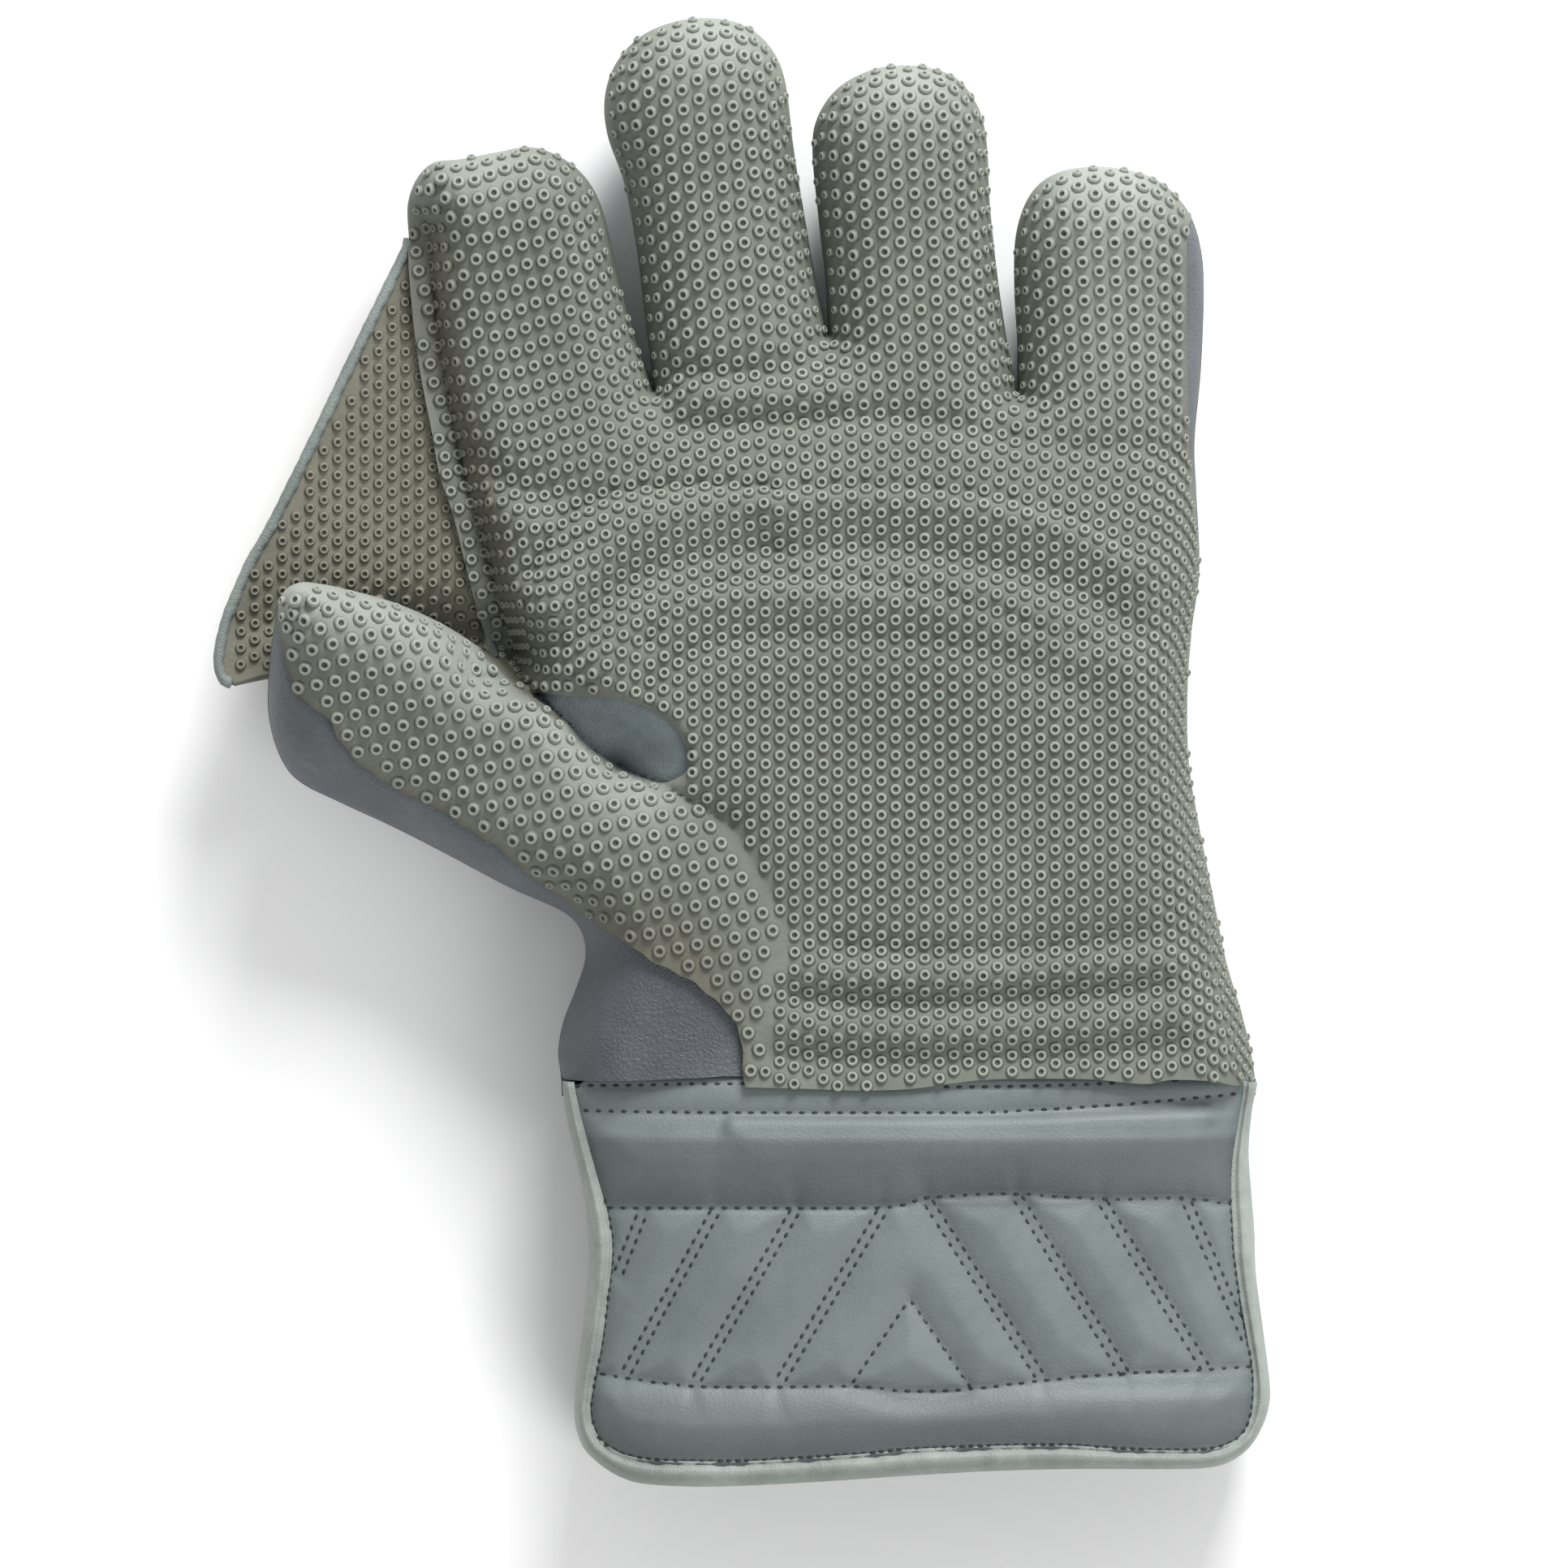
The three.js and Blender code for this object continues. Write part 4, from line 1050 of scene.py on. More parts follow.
def cuff_relief(points):
    """Padding over the panel: puff (1 - exp(-(d / 4.6 mm)^1.25)) with d to the nearest seam, threads sunk
    a little, a bar of piping with a steep upper side, and fine puckers beside the seams, sine waves."""
    to_straight = distance_to(points, *straight_seams, *chevron_legs)
    to_tape = np.maximum(side_of(points, tape_line), 0)
    to_rows = distance_to(points, *double_lines) - DOUBLE_GAP / 2
    to_double = np.maximum(to_rows, 0)
    nearest = np.minimum.reduce([to_straight, to_double, to_tape])
    row, column = row_of(points[:, 1]), column_of(points[:, 0])
    tall = PUFF + LOW_ROLL * smoothstep(*LOW_ROLL_TOP, row) + HIGH_ROLL * on_high_roll(row)
    tall = tall - WELT_LACKS * (1 - smoothstep(*WELT_FOOT, row))
    relief = tall * (1 - bell(nearest, 4.6 * MM, 1.25))
    relief -= THREAD_SINK * bell(np.minimum(to_straight, np.abs(to_rows)), 0.45 * MM)
    away, _, _, side = nearest_on(points, piping_line)
    above, below = bell(away, 1.9 * MM, 4), bell(away, 9.0 * MM)
    ends = smoothstep(*PIPING_START, column) * (1 - smoothstep(*PIPING_END, column))
    relief += PIPING_BAR * np.where(side > 0, above, below * ends + above * (1 - ends))
    relief -= SEAM_SINK * (1 - smoothstep(*HAND_SEAM, row))
    relief -= CHEVRON_SINK * bell(distance_to(points, chevron_foot), 1.6 * MM)
    along = points[:, 0] / MM
    puckers = 0.10 * np.sin(along / 1.9) * bell(to_double, 2.5 * MM, 1)
    puckers += 0.08 * np.sin(along / 1.3 + 1) * bell(to_straight, 1.8 * MM)
    return (relief + puckers * smoothstep(*QUILT_TOP, row)) * MM


def cuff_front_height(points):
    """Middle height, oval rise and padding."""
    return CUFF_MIDDLE + CUFF_RISE * cuff_oval(points) + cuff_relief(points)


# %% Cuff panels
CUFF_STEP = 0.8 * MM
CUFF_PADDING = 4.5 * MM
CUFF_LEATHER = 2.0 * MM
TAPE_UNDERLAP = 0.9 * MM
CUFF_COLUMNS, CUFF_ROWS = (680, 1580), (1835, 1312)
CUFF_CORNER, CUFF_TOP = 745, 1317


def cuff_field(points):
    """Inside the tape's stitched line, with a little more under the tape, and below the hand's edge."""
    inner = side_of(points, tape_line) + TAPE_UNDERLAP
    corner = 0.6 * np.maximum(x_at(CUFF_CORNER) - points[:, 0], 0)
    return np.minimum(inner, y_at(CUFF_TOP) - corner - points[:, 1])


cuff_grid, cuff_shape = flat_grid(
    np.arange(*map(x_at, CUFF_COLUMNS), CUFF_STEP), np.arange(*map(y_at, CUFF_ROWS), CUFF_STEP),
)
cuff_faces, _, cuff_flat, _ = cut_grid(
    cuff_grid, cuff_shape, cuff_field(cuff_grid), cuff_field, CUFF_STEP, 3,
)
cuff_top = cuff_front_height(cuff_flat)
cuff_front = new_mesh("cuff_front_quilted", np.column_stack([cuff_flat, cuff_top]), cuff_faces)
cuff_row = row_of(cuff_flat[:, 1])
# painted shade: the padded roll below the piping and the lower roll are darkened through the material
add_values(cuff_front, "wear_and_painted_light", -0.85 * on_high_roll(cuff_row) - 0.5 * smoothstep(1704, 1722, cuff_row))
thicken(cuff_front, CUFF_PADDING)

cuff_under = np.maximum(CUFF_MIDDLE - CUFF_DROP * cuff_oval(cuff_flat), 0)
cuff_back = new_mesh("cuff_back_plain", np.column_stack([cuff_flat, cuff_under]), cuff_faces[:, ::-1])
thicken(cuff_back, CUFF_LEATHER)
print("cuff faces:", len(cuff_faces), "top, mm:", round(float(cuff_top.max()) / MM, 1))

# %% [markdown]
# ## The cuff's binding
# The edge of each panel is bound with a paler leather tape that folds over it and is stitched down. Its
# outside is a rounded roll, and it is pulled down where the stitches run. At the sides it reaches down to
# where front and back meet, and at the mouth it is as thick as the padded panel, so the mouth stays open.

# %% Cuff tapes
MOUTH_WALL = 6.6 * MM
tape_inward = inward_of(cuff_edge)
tape_reach = distance_to(cuff_edge, tape_line) + 0.2 * MM
tape_inner = cuff_edge + tape_inward * tape_reach[:, None]
at_mouth = smoothstep(0.55, 0.8, cuff_oval(cuff_edge + tape_inward * 3 * MM))
station = np.arange(len(cuff_edge))
bumps = (0.1 * np.sin(station * 1.9) + 0.12 * np.sin(station * 0.53)) * MM


def tape_rings(panel_height, outer_height, wall, way):
    """Rings of the tape, by the share of the way in from the edge. The top goes from the outer height to
    the panel's height as a quarter ellipse, then sinks to the stitches, and the underside comes back. Way
    is 1 on the front and -1 on the back."""
    over = np.concatenate([np.linspace(0, np.pi / 2, 8), [1.8, 2.1, 2.5, 2.9]])
    share = np.where(over <= np.pi / 2, 0.62 * (1 - np.cos(over)), 0.62 + 0.38 * (over - np.pi / 2) / 1.33)
    round_up = np.where(over <= np.pi / 2, np.sin(over), 1)
    sink = 1.1 * MM * smoothstep(0.62, 0.86, share) - 0.45 * MM * smoothstep(0.86, 1.0, share)
    spot = cuff_edge[:, None] + tape_inward[:, None] * (tape_reach[:, None] * share)[..., None]
    crown = panel_height + way * 1.0 * MM
    height = outer_height[:, None] + (crown - outer_height)[:, None] * round_up
    height = height - way * sink + way * bumps[:, None] * round_up
    low_share = np.array([0.95, 0.6, 0.25, 0.05])
    low_spot = cuff_edge[:, None] + tape_inward[:, None] * (tape_reach[:, None] * low_share)[..., None]
    low = (panel_height - way * wall)[:, None] * at_mouth[:, None]
    low = low + outer_height[:, None] * (1 - at_mouth)[:, None]
    low = low + way * np.array([0, -0.3, 0.0, 1.2]) * MM
    top = np.concatenate([spot, height[..., None]], axis=-1)
    bottom = np.concatenate([low_spot, low[..., None] * np.ones((1, 4, 1))], axis=-1)
    return np.concatenate([top, bottom], axis=1)


def mouth_or_side(panel_height, way):
    """Height of the tape's outer line: the meeting height at the sides, mid-wall at the mouth."""
    mid_wall = panel_height - way * MOUTH_WALL * 0.5
    return (CUFF_MIDDLE + way * 0.3 * MM) * (1 - at_mouth) + mid_wall * at_mouth


front_line = CUFF_MIDDLE + CUFF_RISE * cuff_oval(tape_inner)
back_line = np.maximum(CUFF_MIDDLE - CUFF_DROP * cuff_oval(tape_inner), 1.2 * MM)
front_rings = tape_rings(front_line, mouth_or_side(front_line, 1), MOUTH_WALL, 1)
back_rings = tape_rings(back_line, mouth_or_side(back_line, -1), MOUTH_WALL * 0.75, -1)
back_rings[..., 2] = np.maximum(back_rings[..., 2], 0)
cuff_tape_front = sweep("cuff_binding_tape_front", front_rings)
cuff_tape_back = sweep("cuff_binding_tape_back", back_rings[:, ::-1])
print("tape width, mm:", round(float(tape_reach.min()) / MM, 1), "to", round(float(tape_reach.max()) / MM, 1))

# %% [markdown]
# ## Pimples
# The rubber carries some thousands of small hollow studs. They were moulded on a flat sheet in staggered
# columns, and the sheet was then bent round the fingers. So their places are laid out in the sheet's own
# lengths: a column's distance from a finger's middle is measured over the surface, and so is the distance
# between two studs of a column. Where the surface turns away or a fold runs, they crowd, as on the glove.

# %% Heights on a plain grid
PLAIN_STEP = 0.9 * MM
plain_x = np.arange(cad_low[0] - MM, cad_high[0] + MM, PLAIN_STEP)
plain_y = np.arange(y_at(1345), cad_high[1] + MM, PLAIN_STEP)
plain, plain_shape = flat_grid(plain_x, plain_y)
plain_height = rubber_surface(plain, hand_distances(plain)).reshape(plain_shape)


def sample(table, points):
    """Bilinear value of a table on the plain grid."""
    column = np.clip((points[..., 0] - plain_x[0]) / PLAIN_STEP, 0, plain_shape[1] - 1.001)
    row = np.clip((points[..., 1] - plain_y[0]) / PLAIN_STEP, 0, plain_shape[0] - 1.001)
    i, j = row.astype(int), column.astype(int)
    v, u = row - i, column - j
    low = table[i, j] * (1 - u) + table[i, j + 1] * u
    high = table[i + 1, j] * (1 - u) + table[i + 1, j + 1] * u
    return low * (1 - v) + high * v


slope_y, slope_x = np.gradient(plain_height, PLAIN_STEP)
print("plain grid:", plain_shape, "highest, mm:", round(float(plain_height.max()) / MM, 1))

# %% Columns over palm and fingers
COLUMN_PITCH = 3.05 * MM
ROW_PITCH = 3.6 * MM
FINGER_STRETCH = 0.14
MOST_SLOPE = 3.6
# rows of the photo: where the fingers' own columns take over, where the stretch comes in, and the row from
# which the studs of every column are counted
OWN_COLUMNS, STRETCHED = (480, 650), (300, 700)
ROWS_FROM = 900
photo_row = row_of(plain_y)
across_run = np.cumsum(np.sqrt(1 + np.clip(slope_x, -MOST_SLOPE, MOST_SLOPE)**2), axis=1) * PLAIN_STEP
to_finger = 1 - smoothstep(*OWN_COLUMNS, photo_row)
stretch = 1 + FINGER_STRETCH * (1 - smoothstep(*STRETCHED, photo_row))
print("stretch of the sheet on the fingers:", round(float(stretch.max()), 2))


def columns_from(axis_x, numbers):
    """x of each column at each row: the place whose length over the surface from the axis is number times
    pitch times stretch."""
    found = np.empty((len(plain_y), len(numbers)))
    for i in range(len(plain_y)):
        start = np.interp(axis_x[i], plain_x, across_run[i])
        found[i] = np.interp(start + numbers * COLUMN_PITCH * stretch[i], across_run[i], plain_x)
    return found


def studs_on(columns, numbers):
    """Walks each column over the surface and puts a stud at every row pitch, shifted by half a pitch in
    every other column."""
    spots = []
    for column, number in zip(columns.T, numbers):
        climb = np.diff(sample(plain_height, np.column_stack([column, plain_y])))
        step = np.hypot(PLAIN_STEP, np.clip(climb, -MOST_SLOPE * PLAIN_STEP, MOST_SLOPE * PLAIN_STEP))
        run = np.concatenate([[0], np.cumsum(step / stretch[1:])])
        run -= np.interp(y_at(ROWS_FROM), plain_y, run)
        odd = 0.5 * (int(round(number)) % 2)
        rows = np.arange(np.ceil(run[0] / ROW_PITCH - odd), run[-1] / ROW_PITCH - odd)
        y = np.interp((rows + odd) * ROW_PITCH, run, plain_y)
        spots.append(np.column_stack([np.interp(y, plain_y, column), y]))
    return np.vstack(spots)


# %% Studs of palm and fingers
PALM_COLUMN = 1085
ROOT_ROW = 520
LEFT_OF_INDEX, RIGHT_OF_LITTLE = (450, 0), (1520, 0)
FINGERS_FROM, CROTCHES_END = y_at(560), y_at(440)
palm_axis = np.full(len(plain_y), x_at(PALM_COLUMN))
palm_numbers = np.arange(-40, 30)
palm_columns = columns_from(palm_axis, palm_numbers)
palm_found = studs_on(palm_columns, palm_numbers)
spots = [palm_found[palm_found[:, 1] < FINGERS_FROM]]
zone_edges = place([LEFT_OF_INDEX, CROTCH_MIDDLE, CROTCH_RING, CROTCH_LITTLE, RIGHT_OF_LITTLE])[:, 0]
root_row = int(np.abs(photo_row - ROOT_ROW).argmin())
finger_axis = FINGER_TIPS - FINGER_ROOTS
leans = finger_axis[:, 0] / finger_axis[:, 1]
for finger in range(4):
    axis_x = FINGER_ROOTS[finger, 0] + (plain_y - FINGER_ROOTS[finger, 1]) * leans[finger]
    centre = np.interp(axis_x[root_row], palm_columns[root_row], palm_numbers)
    numbers = np.arange(int(centre) - 11, int(centre) + 13)
    own = columns_from(axis_x, numbers - centre)
    wide = columns_from(palm_axis, numbers)
    path = wide * (1 - to_finger[:, None]) + own * to_finger[:, None]
    found = studs_on(path, numbers)
    x, y = found[:, :1], found[:, 1:]
    between = (x[:, 0] > zone_edges[finger]) & (x[:, 0] < zone_edges[finger + 1])
    nearest_axis = np.abs(x - FINGER_ROOTS[:, 0] - (y - FINGER_ROOTS[:, 1]) * leans).argmin(1)
    own_zone = np.where(y[:, 0] < CROTCHES_END, between, nearest_axis == finger)
    spots.append(found[(y[:, 0] > FINGERS_FROM) & own_zone])
hand_spots = np.vstack(spots)
print("studs on palm and fingers before trimming:", len(hand_spots))

# %% Studs of the thumb
# the two steps of its lattice along and across the thumb, in mm
THUMB_STEPS = np.array([(-2.97, 2.71), (-3.79, -2.02)]) * MM
# the stud at the very tip, where the rows close up
TIP_STUD = (372, 743)
# the line between the thumb's studs and the palm's
PALM_BORDER = [
    (540, 740), (607, 810), (662, 856), (723, 918), (760, 944), (850, 985), (900, 1015), (950, 1100),
    (958, 1200), (935, 1345),
]
palm_border = curve_of(PALM_BORDER)
TIP_FROM, TIP_SLOPE, THUMB_CROWN = 60 * MM, 2.6, 8 * MM

# lengths over the surface: along the middle of the thumb, and across it in each row
along_thumb = np.arange(-60 * MM, 105 * MM, PLAIN_STEP)
across_thumb = np.arange(-40 * MM, 40 * MM, PLAIN_STEP)
thumb_middle = THUMB_ROOT + along_thumb[:, None] * THUMB_ALONG
flat_thumb = thumb_middle[:, None] + across_thumb[None, :, None] * THUMB_ACROSS
thumb_height = sample(plain_height, thumb_middle + 2 * MM * THUMB_ACROSS)
tip_slope = np.clip(np.gradient(thumb_height, PLAIN_STEP), -TIP_SLOPE, TIP_SLOPE) * (along_thumb > TIP_FROM)
thumb_length = np.cumsum(np.sqrt(1 + tip_slope**2)) * PLAIN_STEP
thumb_length += along_thumb[0] - thumb_length[0]
thumb_slope = np.gradient(sample(plain_height, flat_thumb), PLAIN_STEP, axis=1)
thumb_run = np.cumsum(np.sqrt(1 + np.clip(thumb_slope, -MOST_SLOPE, MOST_SLOPE)**2), axis=1) * PLAIN_STEP
thumb_run -= thumb_run[:, np.abs(across_thumb + THUMB_CROWN).argmin()][:, None]

# %% The thumb's lattice over the surface
steps, _ = flat_grid(np.arange(-45, 45), np.arange(-45, 45))
lattice = steps[:, :1] * THUMB_STEPS[0] + steps[:, 1:] * THUMB_STEPS[1]
lattice = lattice[(lattice[:, 0] > along_thumb[0]) & (lattice[:, 0] < thumb_length[-1])]
lattice[:, 0] = np.interp(lattice[:, 0], thumb_length, along_thumb)
thumb_row = ((lattice[:, 0] - along_thumb[0]) / PLAIN_STEP).astype(int).clip(0, len(along_thumb) - 1)
reached = (thumb_run[thumb_row] < lattice[:, 1:]).sum(1).clip(1, len(across_thumb) - 1)
before, after = thumb_run[thumb_row, reached - 1], thumb_run[thumb_row, reached]
part = np.clip((lattice[:, 1] - before) / (after - before), 0, 1)
across_found = across_thumb[reached - 1] + part * PLAIN_STEP
thumb_spots = THUMB_ROOT + lattice[:, :1] * THUMB_ALONG + across_found[:, None] * THUMB_ACROSS
on_lattice = (lattice[:, 1] > thumb_run[thumb_row, 0]) & (lattice[:, 1] < thumb_run[thumb_row, -1])
thumb_spots = thumb_spots[on_lattice & (side_of(thumb_spots, palm_border) < -0.9 * MM)]
thumb_spots = np.vstack([place(TIP_STUD)[None], thumb_spots])
hand_spots = hand_spots[side_of(hand_spots, palm_border) > 0.5 * MM]

# %% Stamping studs
# radius and height in mm of the stud's rings, from its foot to the bottom of its hole
STUD_RINGS = np.array([(1.5, -0.15), (1.22, 0.45), (1.06, 0.78), (0.86, 0.86), (0.62, 0.74), (0.44, 0.3)])
# how far up each ring is for the material: 0 is the foot, 1 the rim, below zero the hole
RING_TOPS = np.array([0.0, 0.25, 0.75, 1.0, 0.6, -1.0])
STUD_SIDES = 10
STUD_GAP = 2.0 * MM
RUBBER_MARGIN = 0.7 * MM


def trimmed(spots):
    """Studs on the rubber only, and where two came closer in space than the gap, only the first."""
    spots = spots[rubber_domain(spots, hand_distances(spots)) > RUBBER_MARGIN]
    spots = np.column_stack([spots, sample(plain_height, spots)])
    keep = np.ones(len(spots), bool)
    order = np.argsort(spots[:, 1])
    for index, spot in zip(order, spots[order]):
        if keep[index]:
            close = np.linalg.norm(spots - spot, axis=1) < STUD_GAP
            close[index] = False
            keep[close] = False
    return spots[keep, :2]


def stud_mesh(name, places, normals, sizes, wear_and_painted_light):
    """One mesh of many studs: rings of a profile round each normal, closed under the foot and at the
    bottom of the hole. The rings run against the way of a tube's, so the faces are turned over."""
    turn = np.linspace(0, 2 * np.pi, STUD_SIDES, endpoint=False)
    side = unit(np.cross(normals, [0.0, 1.0, 0.0]))
    other = np.cross(normals, side)
    round_part = np.cos(turn)[:, None] * side[:, None, :] + np.sin(turn)[:, None] * other[:, None, :]
    radius, height = STUD_RINGS[:, 0] * MM, STUD_RINGS[:, 1] * MM
    rings = radius[:, None, None] * round_part[:, None] * sizes[:, None, None, None]
    rings = rings + (height[:, None] * normals[:, None, :])[:, :, None] + places[:, None, None]
    faces = tube_faces(len(places), len(STUD_RINGS), STUD_SIDES)
    thing = new_mesh(name, rings.reshape(-1, 3), [part[:, ::-1] for part in faces])
    add_values(thing, "top", np.tile(np.repeat(RING_TOPS, STUD_SIDES), len(places)))
    # each stud takes the rubber's rubbed paleness, painted highlights and painted shade at its place
    add_values(thing, "wear_and_painted_light", np.repeat(wear_and_painted_light, STUD_RINGS.shape[0] * STUD_SIDES))
    print(name, "has", len(places), "studs")
    return thing


# %% Studs on the hand
STEEPEST_LEAN = 1.8
FINGER_LARGER = 0.1
STEEP_SMALLER = 0.42


def hand_studs(name, spots, larger=0.0):
    """Studs on the hand, leaning with the surface's slope. They are a little larger on the fingers, and
    smaller where the surface is steep."""
    spots = trimmed(spots)
    tilt = np.column_stack([sample(slope_x, spots), sample(slope_y, spots)])
    tilt *= np.minimum(1, STEEPEST_LEAN / np.maximum(np.linalg.norm(tilt, axis=1), 1e-9))[:, None]
    normals = unit(np.column_stack([-tilt, np.ones(len(spots))]))
    places = np.column_stack([spots, rubber_surface(spots, hand_distances(spots))])
    size = 1 + larger + FINGER_LARGER * smoothstep(y_at(700), y_at(300), spots[:, 1])
    size *= 1 - STEEP_SMALLER * smoothstep(0.8, 2.2, np.linalg.norm(tilt, axis=1))
    return stud_mesh(name, places, normals, size, wear_and_painted_light_at(spots))


# palm and fingers are two meshes, so that neither grows too large
split = y_at(545)
palm_studs = hand_studs("palm_studs", hand_spots[hand_spots[:, 1] <= split])
finger_studs = hand_studs("finger_studs", hand_spots[hand_spots[:, 1] > split])
thumb_studs = hand_studs("thumb_studs", thumb_spots, 0.14)

# %% Studs of the web
WEB_PITCH = np.array([2.9, 3.5]) * MM
WEB_STUD_SIZE = 0.86
SEAM_CLEAR, TAPE_CLEAR = 2.0 * MM, 2.9 * MM
web_steps, _ = flat_grid(np.arange(0, 25), np.arange(0, 36))
web_steps = web_steps + 0.5 * np.column_stack([0 * web_steps[:, 0], web_steps[:, 0] % 2])
web_spots = place((262, 860)) + web_steps * WEB_PITCH
web_flat = web_points.reshape(-1, 3)
nearest_web = ((web_spots[:, None] - web_flat[None, :, :2])**2).sum(2)
web_index = nearest_web.argmin(1)
down_web, over_web = np.gradient(web_points, axis=(0, 1))
web_normals = unit(np.cross(down_web, over_web).reshape(-1, 3))
web_normals *= np.sign(web_normals[:, 2:])
web_share, web_row = share_grid.ravel()[web_index], row_grid.ravel()[web_index]
web_width = np.linalg.norm(web_free - under_flange, axis=1)[web_row]
clear = (web_share * web_width > SEAM_CLEAR) & ((1 - web_share) * web_width > TAPE_CLEAR)
clear &= (nearest_web.min(1) < MM**2) & (web_row < web_rows - 3)
web_places = np.column_stack([web_spots, web_flat[web_index, 2]])[clear]
even = np.ones(len(web_places))
web_studs = stud_mesh(
    "web_studs", web_places, web_normals[web_index[clear]], WEB_STUD_SIZE * even, 0 * even,
)

# %% [markdown]
# ## Stitches
# The seams of the cuff are sewn with dark thread. Each stitch is a short rounded dash lying in its seam, and
# all of them are one mesh. A row is a line of dashes at one pitch, turned along the line.

# %% Stitch rows
SEAM_PITCH = 13.6 * PIXEL
WELT_PITCH = 15.6 * PIXEL
TAPE_PITCH = 11 * PIXEL
# half the length, width and height of a dash, and how far its middle stands over the leather
STITCH = np.array([0.66, 0.34, 0.26]) * MM
STITCH_LIFT = 0.12 * MM
DASH_RINGS = np.radians([12, 50, 90, 130, 168])
DASH_SIDES = 6


def dash_places(line, pitch):
    """Middles and directions of the dashes along a line, from half a pitch in."""
    run = run_along(line)
    at = np.arange(0.5 * pitch, run[-1], pitch)
    ahead, behind = walk(line, run, at + 0.3 * pitch), walk(line, run, at - 0.3 * pitch)
    return walk(line, run, at), unit(ahead - behind)


def beside(line, offset):
    """The line shifted to its left by an offset."""
    return line + inward_of(line) * offset


rows_of_stitches = [(line, WELT_PITCH) for line in straight_seams]
rows_of_stitches += [(leg, SEAM_PITCH) for leg in chevron_legs]
for line in double_lines:
    rows_of_stitches += [(beside(line, way * DOUBLE_GAP / 2), SEAM_PITCH) for way in (-1, 1)]
rows_of_stitches.append((beside(tape_line[26:-26], 0.25 * MM), TAPE_PITCH))
dashes = [dash_places(line, pitch) for line, pitch in rows_of_stitches]
dash_spot, dash_along = (np.vstack(part) for part in zip(*dashes))
hidden = (side_of(dash_spot, rubber_foot) > -0.4 * MM) & (dash_spot[:, 0] > x_at(916))
dash_spot, dash_along = dash_spot[~hidden], dash_along[~hidden]


def dash_mesh(name, spots, along, surface):
    """Small ellipsoids of five rings: cos(polar) along the seam, sin(polar) times the cosine and sine of
    the turn across it and upwards, each times its half size."""
    turn = np.linspace(0, 2 * np.pi, DASH_SIDES, endpoint=False)
    lengthwise = np.repeat(np.cos(DASH_RINGS), DASH_SIDES)
    sideways = np.outer(np.sin(DASH_RINGS), np.cos(turn)).ravel()
    upward = np.outer(np.sin(DASH_RINGS), np.sin(turn)).ravel()
    across = np.column_stack([-along[:, 1], along[:, 0]])
    flat = spots[:, None] + STITCH[0] * lengthwise[:, None] * along[:, None]
    flat = flat + STITCH[1] * sideways[:, None] * across[:, None]
    height = surface(flat.reshape(-1, 2)).reshape(flat.shape[:2]) + STITCH[2] * upward + STITCH_LIFT
    points = np.concatenate([flat, height[..., None]], axis=-1)
    return new_mesh(name, points.reshape(-1, 3), tube_faces(len(spots), len(DASH_RINGS), DASH_SIDES))


stitches = dash_mesh("cuff_stitches", dash_spot, dash_along, cuff_front_height)
print("stitches:", len(dash_spot))

# %% [markdown]
# ## Rubber
# The facing is matt grey-green rubber, with a yellowish painted shade in its folds and creases, paler where it
# has been rubbed and where a highlight is painted, and darker where shade is painted. The colour is two tones
# mixed by noise at two sizes, and the surface has a very fine grain.

# %% Rubber material
# the pale tone stands for rubbing and for painted highlights, the dark brownish tone for painted shade
RUBBED_AND_LIT_PALE = tone(158, 163, 156)
PAINTED_SHADE_TONE = tone(88, 84, 70)
GRAIN_SIZE = 0.9 * MM
RUBBER_GRAIN_DEPTH, STUD_GRAIN_DEPTH = 0.12 * MM, 0.08 * MM


def rubber_material(name, light, dark, crease_shade):
    """Broad and fine noise mix the two tones, and the creases of the folds get a painted shade."""
    shader = Shader(name)
    broad = shader.noise(30 * MM)
    fine = shader.noise(4 * MM, 4.0, 0.6, shift=0.3)
    base = shader.mix(shader.step(0.3, 0.7, broad * 0.65 + fine * 0.35), dark, light)
    fold = shader.attribute("fold")
    # painted shade in the creases, by how deep the fold sinks
    base = shader.mix(shader.step(0.3, -3.0, fold) * 0.5, base, crease_shade)
    wear_and_painted_light = shader.attribute("wear_and_painted_light")
    # paler where rubbed and where a highlight is painted, darker where shade is painted
    base = shader.mix(shader.clamp(wear_and_painted_light) * 0.75, base, RUBBED_AND_LIT_PALE)
    base = shader.mix(shader.clamp(-wear_and_painted_light) * 0.7, base, PAINTED_SHADE_TONE)
    grain = shader.noise(GRAIN_SIZE, 3.0, 0.6)
    return shader.finish(base, 0.72 + 0.12 * fine, shader.bump(grain + 2.0 * fine, RUBBER_GRAIN_DEPTH))


rubber_shade = rubber_material("grey rubber", tone(118, 122, 113), tone(98, 102, 94), tone(84, 84, 74))
web_shade = rubber_material("web rubber", tone(118, 117, 104), tone(98, 98, 86), tone(84, 82, 70))


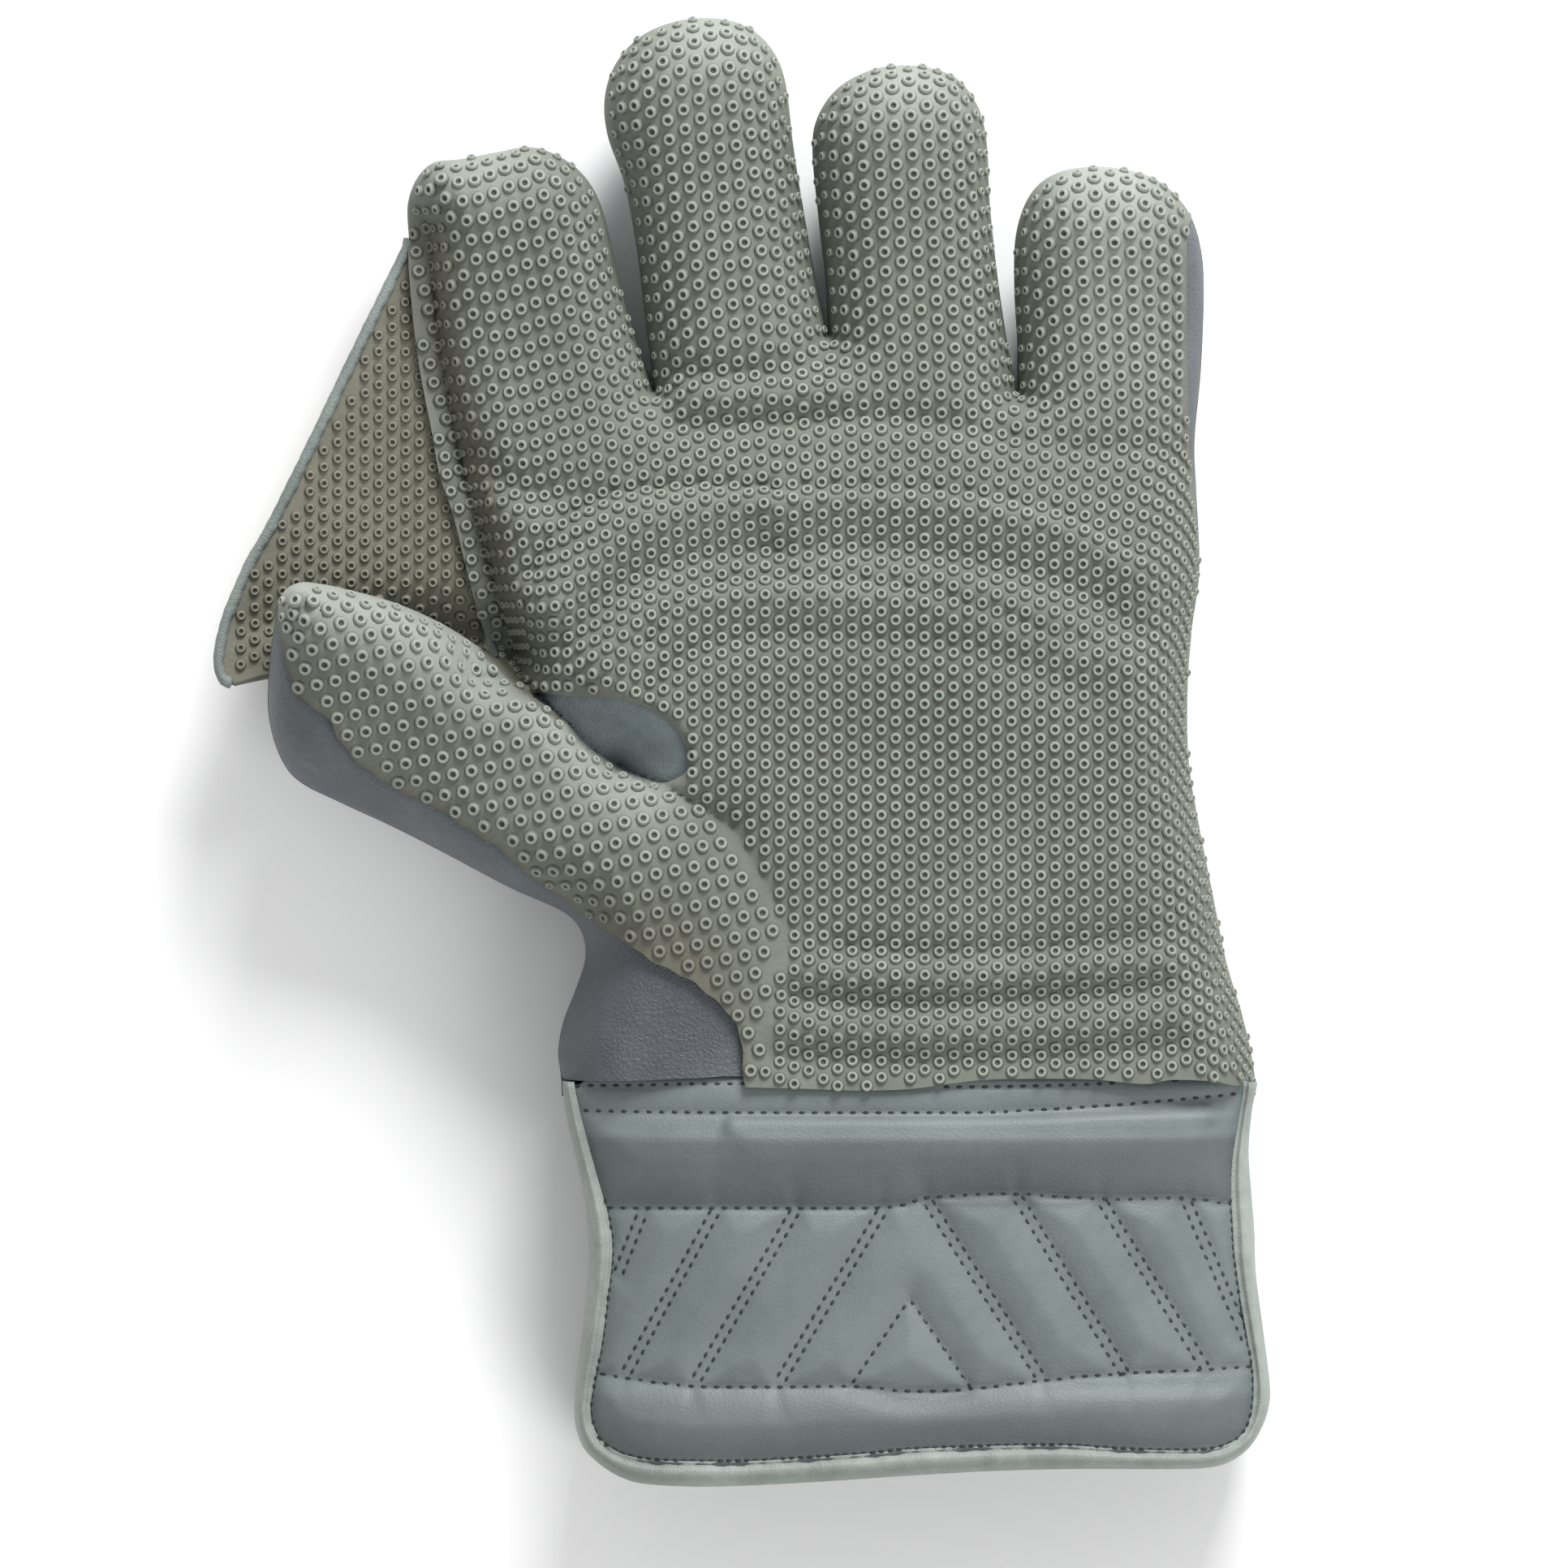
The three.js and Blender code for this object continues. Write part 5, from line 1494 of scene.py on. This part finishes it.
# %% Stud material
def stud_material(name, foot, rim, hole):
    """The colour follows the height on the stud: the foot is as the rubber, the rim is paler, partly rubbed
    and partly a painted highlight, and the hole is dark with painted shade. Noise makes some rims paler than
    others."""
    shader = Shader(name)
    top = shader.attribute("top")
    paleness = shader.noise(12 * MM, shift=0.4)
    wear_and_painted_light = shader.attribute("wear_and_painted_light")
    # the foot paler where rubbed and where a highlight is painted, and darker where shade is painted
    foot = shader.mix(shader.clamp(wear_and_painted_light) * 0.75, foot, RUBBED_AND_LIT_PALE)
    base = shader.mix(shader.step(0.1, 0.9, top) * (0.55 + 0.9 * (paleness - 0.3)), foot, rim)
    base = shader.mix(shader.clamp(-wear_and_painted_light) * 0.6, base, PAINTED_SHADE_TONE)
    # the hole darkened: painted shade
    base = shader.mix(shader.step(0.3, -0.5, top), base, hole)
    grain = shader.noise(GRAIN_SIZE, 3.0, 0.6)
    return shader.finish(base, 0.66 + 0.12 * grain, shader.bump(grain, STUD_GRAIN_DEPTH))


# the rim tones stand for rubbing and a painted highlight, the hole tones for painted shade
stud_shade = stud_material("stud rubber", tone(112, 115, 106), tone(150, 156, 147), tone(72, 74, 66))
web_stud_shade = stud_material("web stud rubber", tone(110, 108, 95), tone(127, 126, 112), tone(76, 73, 62))


# %% [markdown]
# ## Leather
# The plain leather is blue-grey and finely grained. Its grain is small closed cells with creases between
# them, so it is a Voronoi pattern, and noise at a larger size gives soft worn patches.

# %% Leather material
# the tone of the leather's painted shade
PAINTED_SHADE_LEATHER = tone(50, 54, 60)


def leather_material(name, light, dark, grain_size, depth):
    """Two tones mixed by noise; the bump is the distance to the nearest cell edge, softened by noise. The
    size of the grain and the depth of the bump are in millimetres."""
    shader = Shader(name)
    broad = shader.noise(22 * MM)
    fine = shader.noise(3 * MM, 4.0, 0.6, shift=0.7)
    base = shader.mix(shader.step(0.3, 0.7, broad * 0.7 + fine * 0.3), dark, light)
    # painted shade: darker beside the rubber's edge, round the thumb's base, beside the little finger and on
    # the cuff's rolls
    base = shader.mix(shader.clamp(-shader.attribute("wear_and_painted_light")) * 0.5, base, PAINTED_SHADE_LEATHER)
    grain = shader.clamp(shader.cells(grain_size * MM) * 4.0) * 0.7 + shader.noise(0.7 * MM, 2.0) * 0.6
    wrinkle = shader.noise(6 * MM, 3.0, 0.5, stretch=(1, 0.6, 1))
    return shader.finish(base, 0.46 + 0.16 * fine, shader.bump(grain + wrinkle * 1.6, depth * MM))


thread_shade = leather_material("dark thread", tone(46, 52, 54), tone(30, 35, 37), 0.4, 0.05)
web_tape_shade = leather_material("blue-grey tape", tone(129, 138, 134), tone(105, 113, 111), 0.9, 0.1)
leather_shade = leather_material("blue-grey leather", tone(100, 105, 109), tone(80, 85, 89), 1.1, 0.16)
tape_shade = leather_material("pale tape", tone(151, 158, 153), tone(121, 128, 123), 0.9, 0.06)
cuff_shade = leather_material("cuff leather", tone(111, 120, 120), tone(99, 108, 109), 1.0, 0.04)
gusset_shade = leather_material("gusset leather", tone(130, 141, 144), tone(102, 112, 116), 1.1, 0.1)

# %% Which piece wears what
# each piece, its material, its slot in the record and the solids that it stands for
DRESSED = [
    (rubber, rubber_shade, "facing", ["palm_facing"]),
    (leather, leather_shade, "leather", ["thumb_leather", "thumb_base"]),
    (strip, leather_shade, "leather", []),
    (gusset, gusset_shade, "leather", ["fork_gusset"]),
    (back, leather_shade, "leather", ["hand_back"]),
    (web, web_shade, "facing", ["web_panel"]),
    (web_tape, web_tape_shade, "binding", ["web_binding"]),
    (cuff_front, cuff_shade, "cuff_leather", ["cuff_front"]),
    (cuff_back, cuff_shade, "cuff_leather", ["cuff_back"]),
    (cuff_tape_front, tape_shade, "binding", ["cuff_binding_front"]),
    (cuff_tape_back, tape_shade, "binding", ["cuff_binding_back"]),
    (palm_studs, stud_shade, "facing", []),
    (finger_studs, stud_shade, "facing", []),
    (thumb_studs, stud_shade, "facing", []),
    (web_studs, web_stud_shade, "facing", []),
    (stitches, thread_shade, "binding", []),
]
for thing, material, _, _ in DRESSED:
    thing.data.materials.append(material)
print("pieces:", len(DRESSED), "materials:", len({material.name for _, material, _, _ in DRESSED}))

# %% [markdown]
# ## Light, floor and camera
# The photo is a catalogue picture: white all round, and one broad soft light from above the fingertips. The
# floor is nearly white and the sky is white, and one large lamp gives the pimples and seams their shading.
# The camera looks straight down from two metres, so it sees the glove nearly without perspective.

# %% Floor, sky and lamps
FLOOR_SIZE = 6.0
FLOOR_DROP = 0.2 * MM
SKY_STRENGTH = 0.58
floor_corners = np.array([[-1, -1, 0], [1, -1, 0], [1, 1, 0], [-1, 1, 0]]) * FLOOR_SIZE / 2
floor = new_mesh("floor", floor_corners - [0, 0, FLOOR_DROP], np.array([[0, 1, 2, 3]]), smooth=False)
floor_shader = Shader("white floor")
floor_tint = floor_shader.mix(floor_shader.noise(0.9, 2.0), tone(246, 246, 246), tone(251, 251, 251))
floor.data.materials.append(floor_shader.finish(floor_tint, 0.9))

world = bpy.data.worlds.new("white room")
world.use_nodes = True
world.node_tree.nodes["Background"].inputs["Color"].default_value = (1.0, 1.0, 1.0, 1.0)
world.node_tree.nodes["Background"].inputs["Strength"].default_value = SKY_STRENGTH
bpy.context.scene.world = world


def lamp(name, spot, size, power):
    """A square area lamp at a spot, turned towards the middle of the glove: tilted by the angle between
    straight down and the spot's way there, and turned by the spot's direction on the floor."""
    light = bpy.data.lights.new(name, "AREA")
    light.shape = "SQUARE"
    light.size = size
    light.energy = power
    thing = bpy.data.objects.new(name, light)
    bpy.context.scene.collection.objects.link(thing)
    thing.location = spot
    x, y, z = spot
    thing.rotation_euler = (float(np.arctan2(np.hypot(x, y), z)), 0, float(np.arctan2(x, -y)))


lamp("key light", (0.35, 1.3, 0.85), 0.6, 33)
lamp("fill light", (0.9, -1.0, 1.2), 1.0, 10)

# %% Camera
CAMERA_HEIGHT = 2.0
GLOVE_MIDDLE = 0.03
FRAME_PIXELS = 1932
SENSOR = 36
frame_middle = place((FRAME_PIXELS / 2, FRAME_PIXELS / 2))
camera_data = bpy.data.cameras.new("camera")
camera_data.sensor_width = SENSOR
camera_data.lens = SENSOR * (CAMERA_HEIGHT - GLOVE_MIDDLE) / (FRAME_PIXELS * PIXEL)
camera = bpy.data.objects.new("camera", camera_data)
bpy.context.scene.collection.objects.link(camera)
camera.location = (frame_middle[0], frame_middle[1], CAMERA_HEIGHT)
bpy.context.scene.camera = camera
bpy.context.scene.view_settings.view_transform = "Standard"
print("lens:", round(camera_data.lens, 1), "mm")

# %% [markdown]
# ## Handing the pieces to the frame
# Every piece rides on the one body and stands for the solids that it replaces, which are hidden.

# %% Frame table
for thing, _, finish, nodes in DRESSED:
    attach(thing, "root")
    if nodes:
        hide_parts(*nodes)
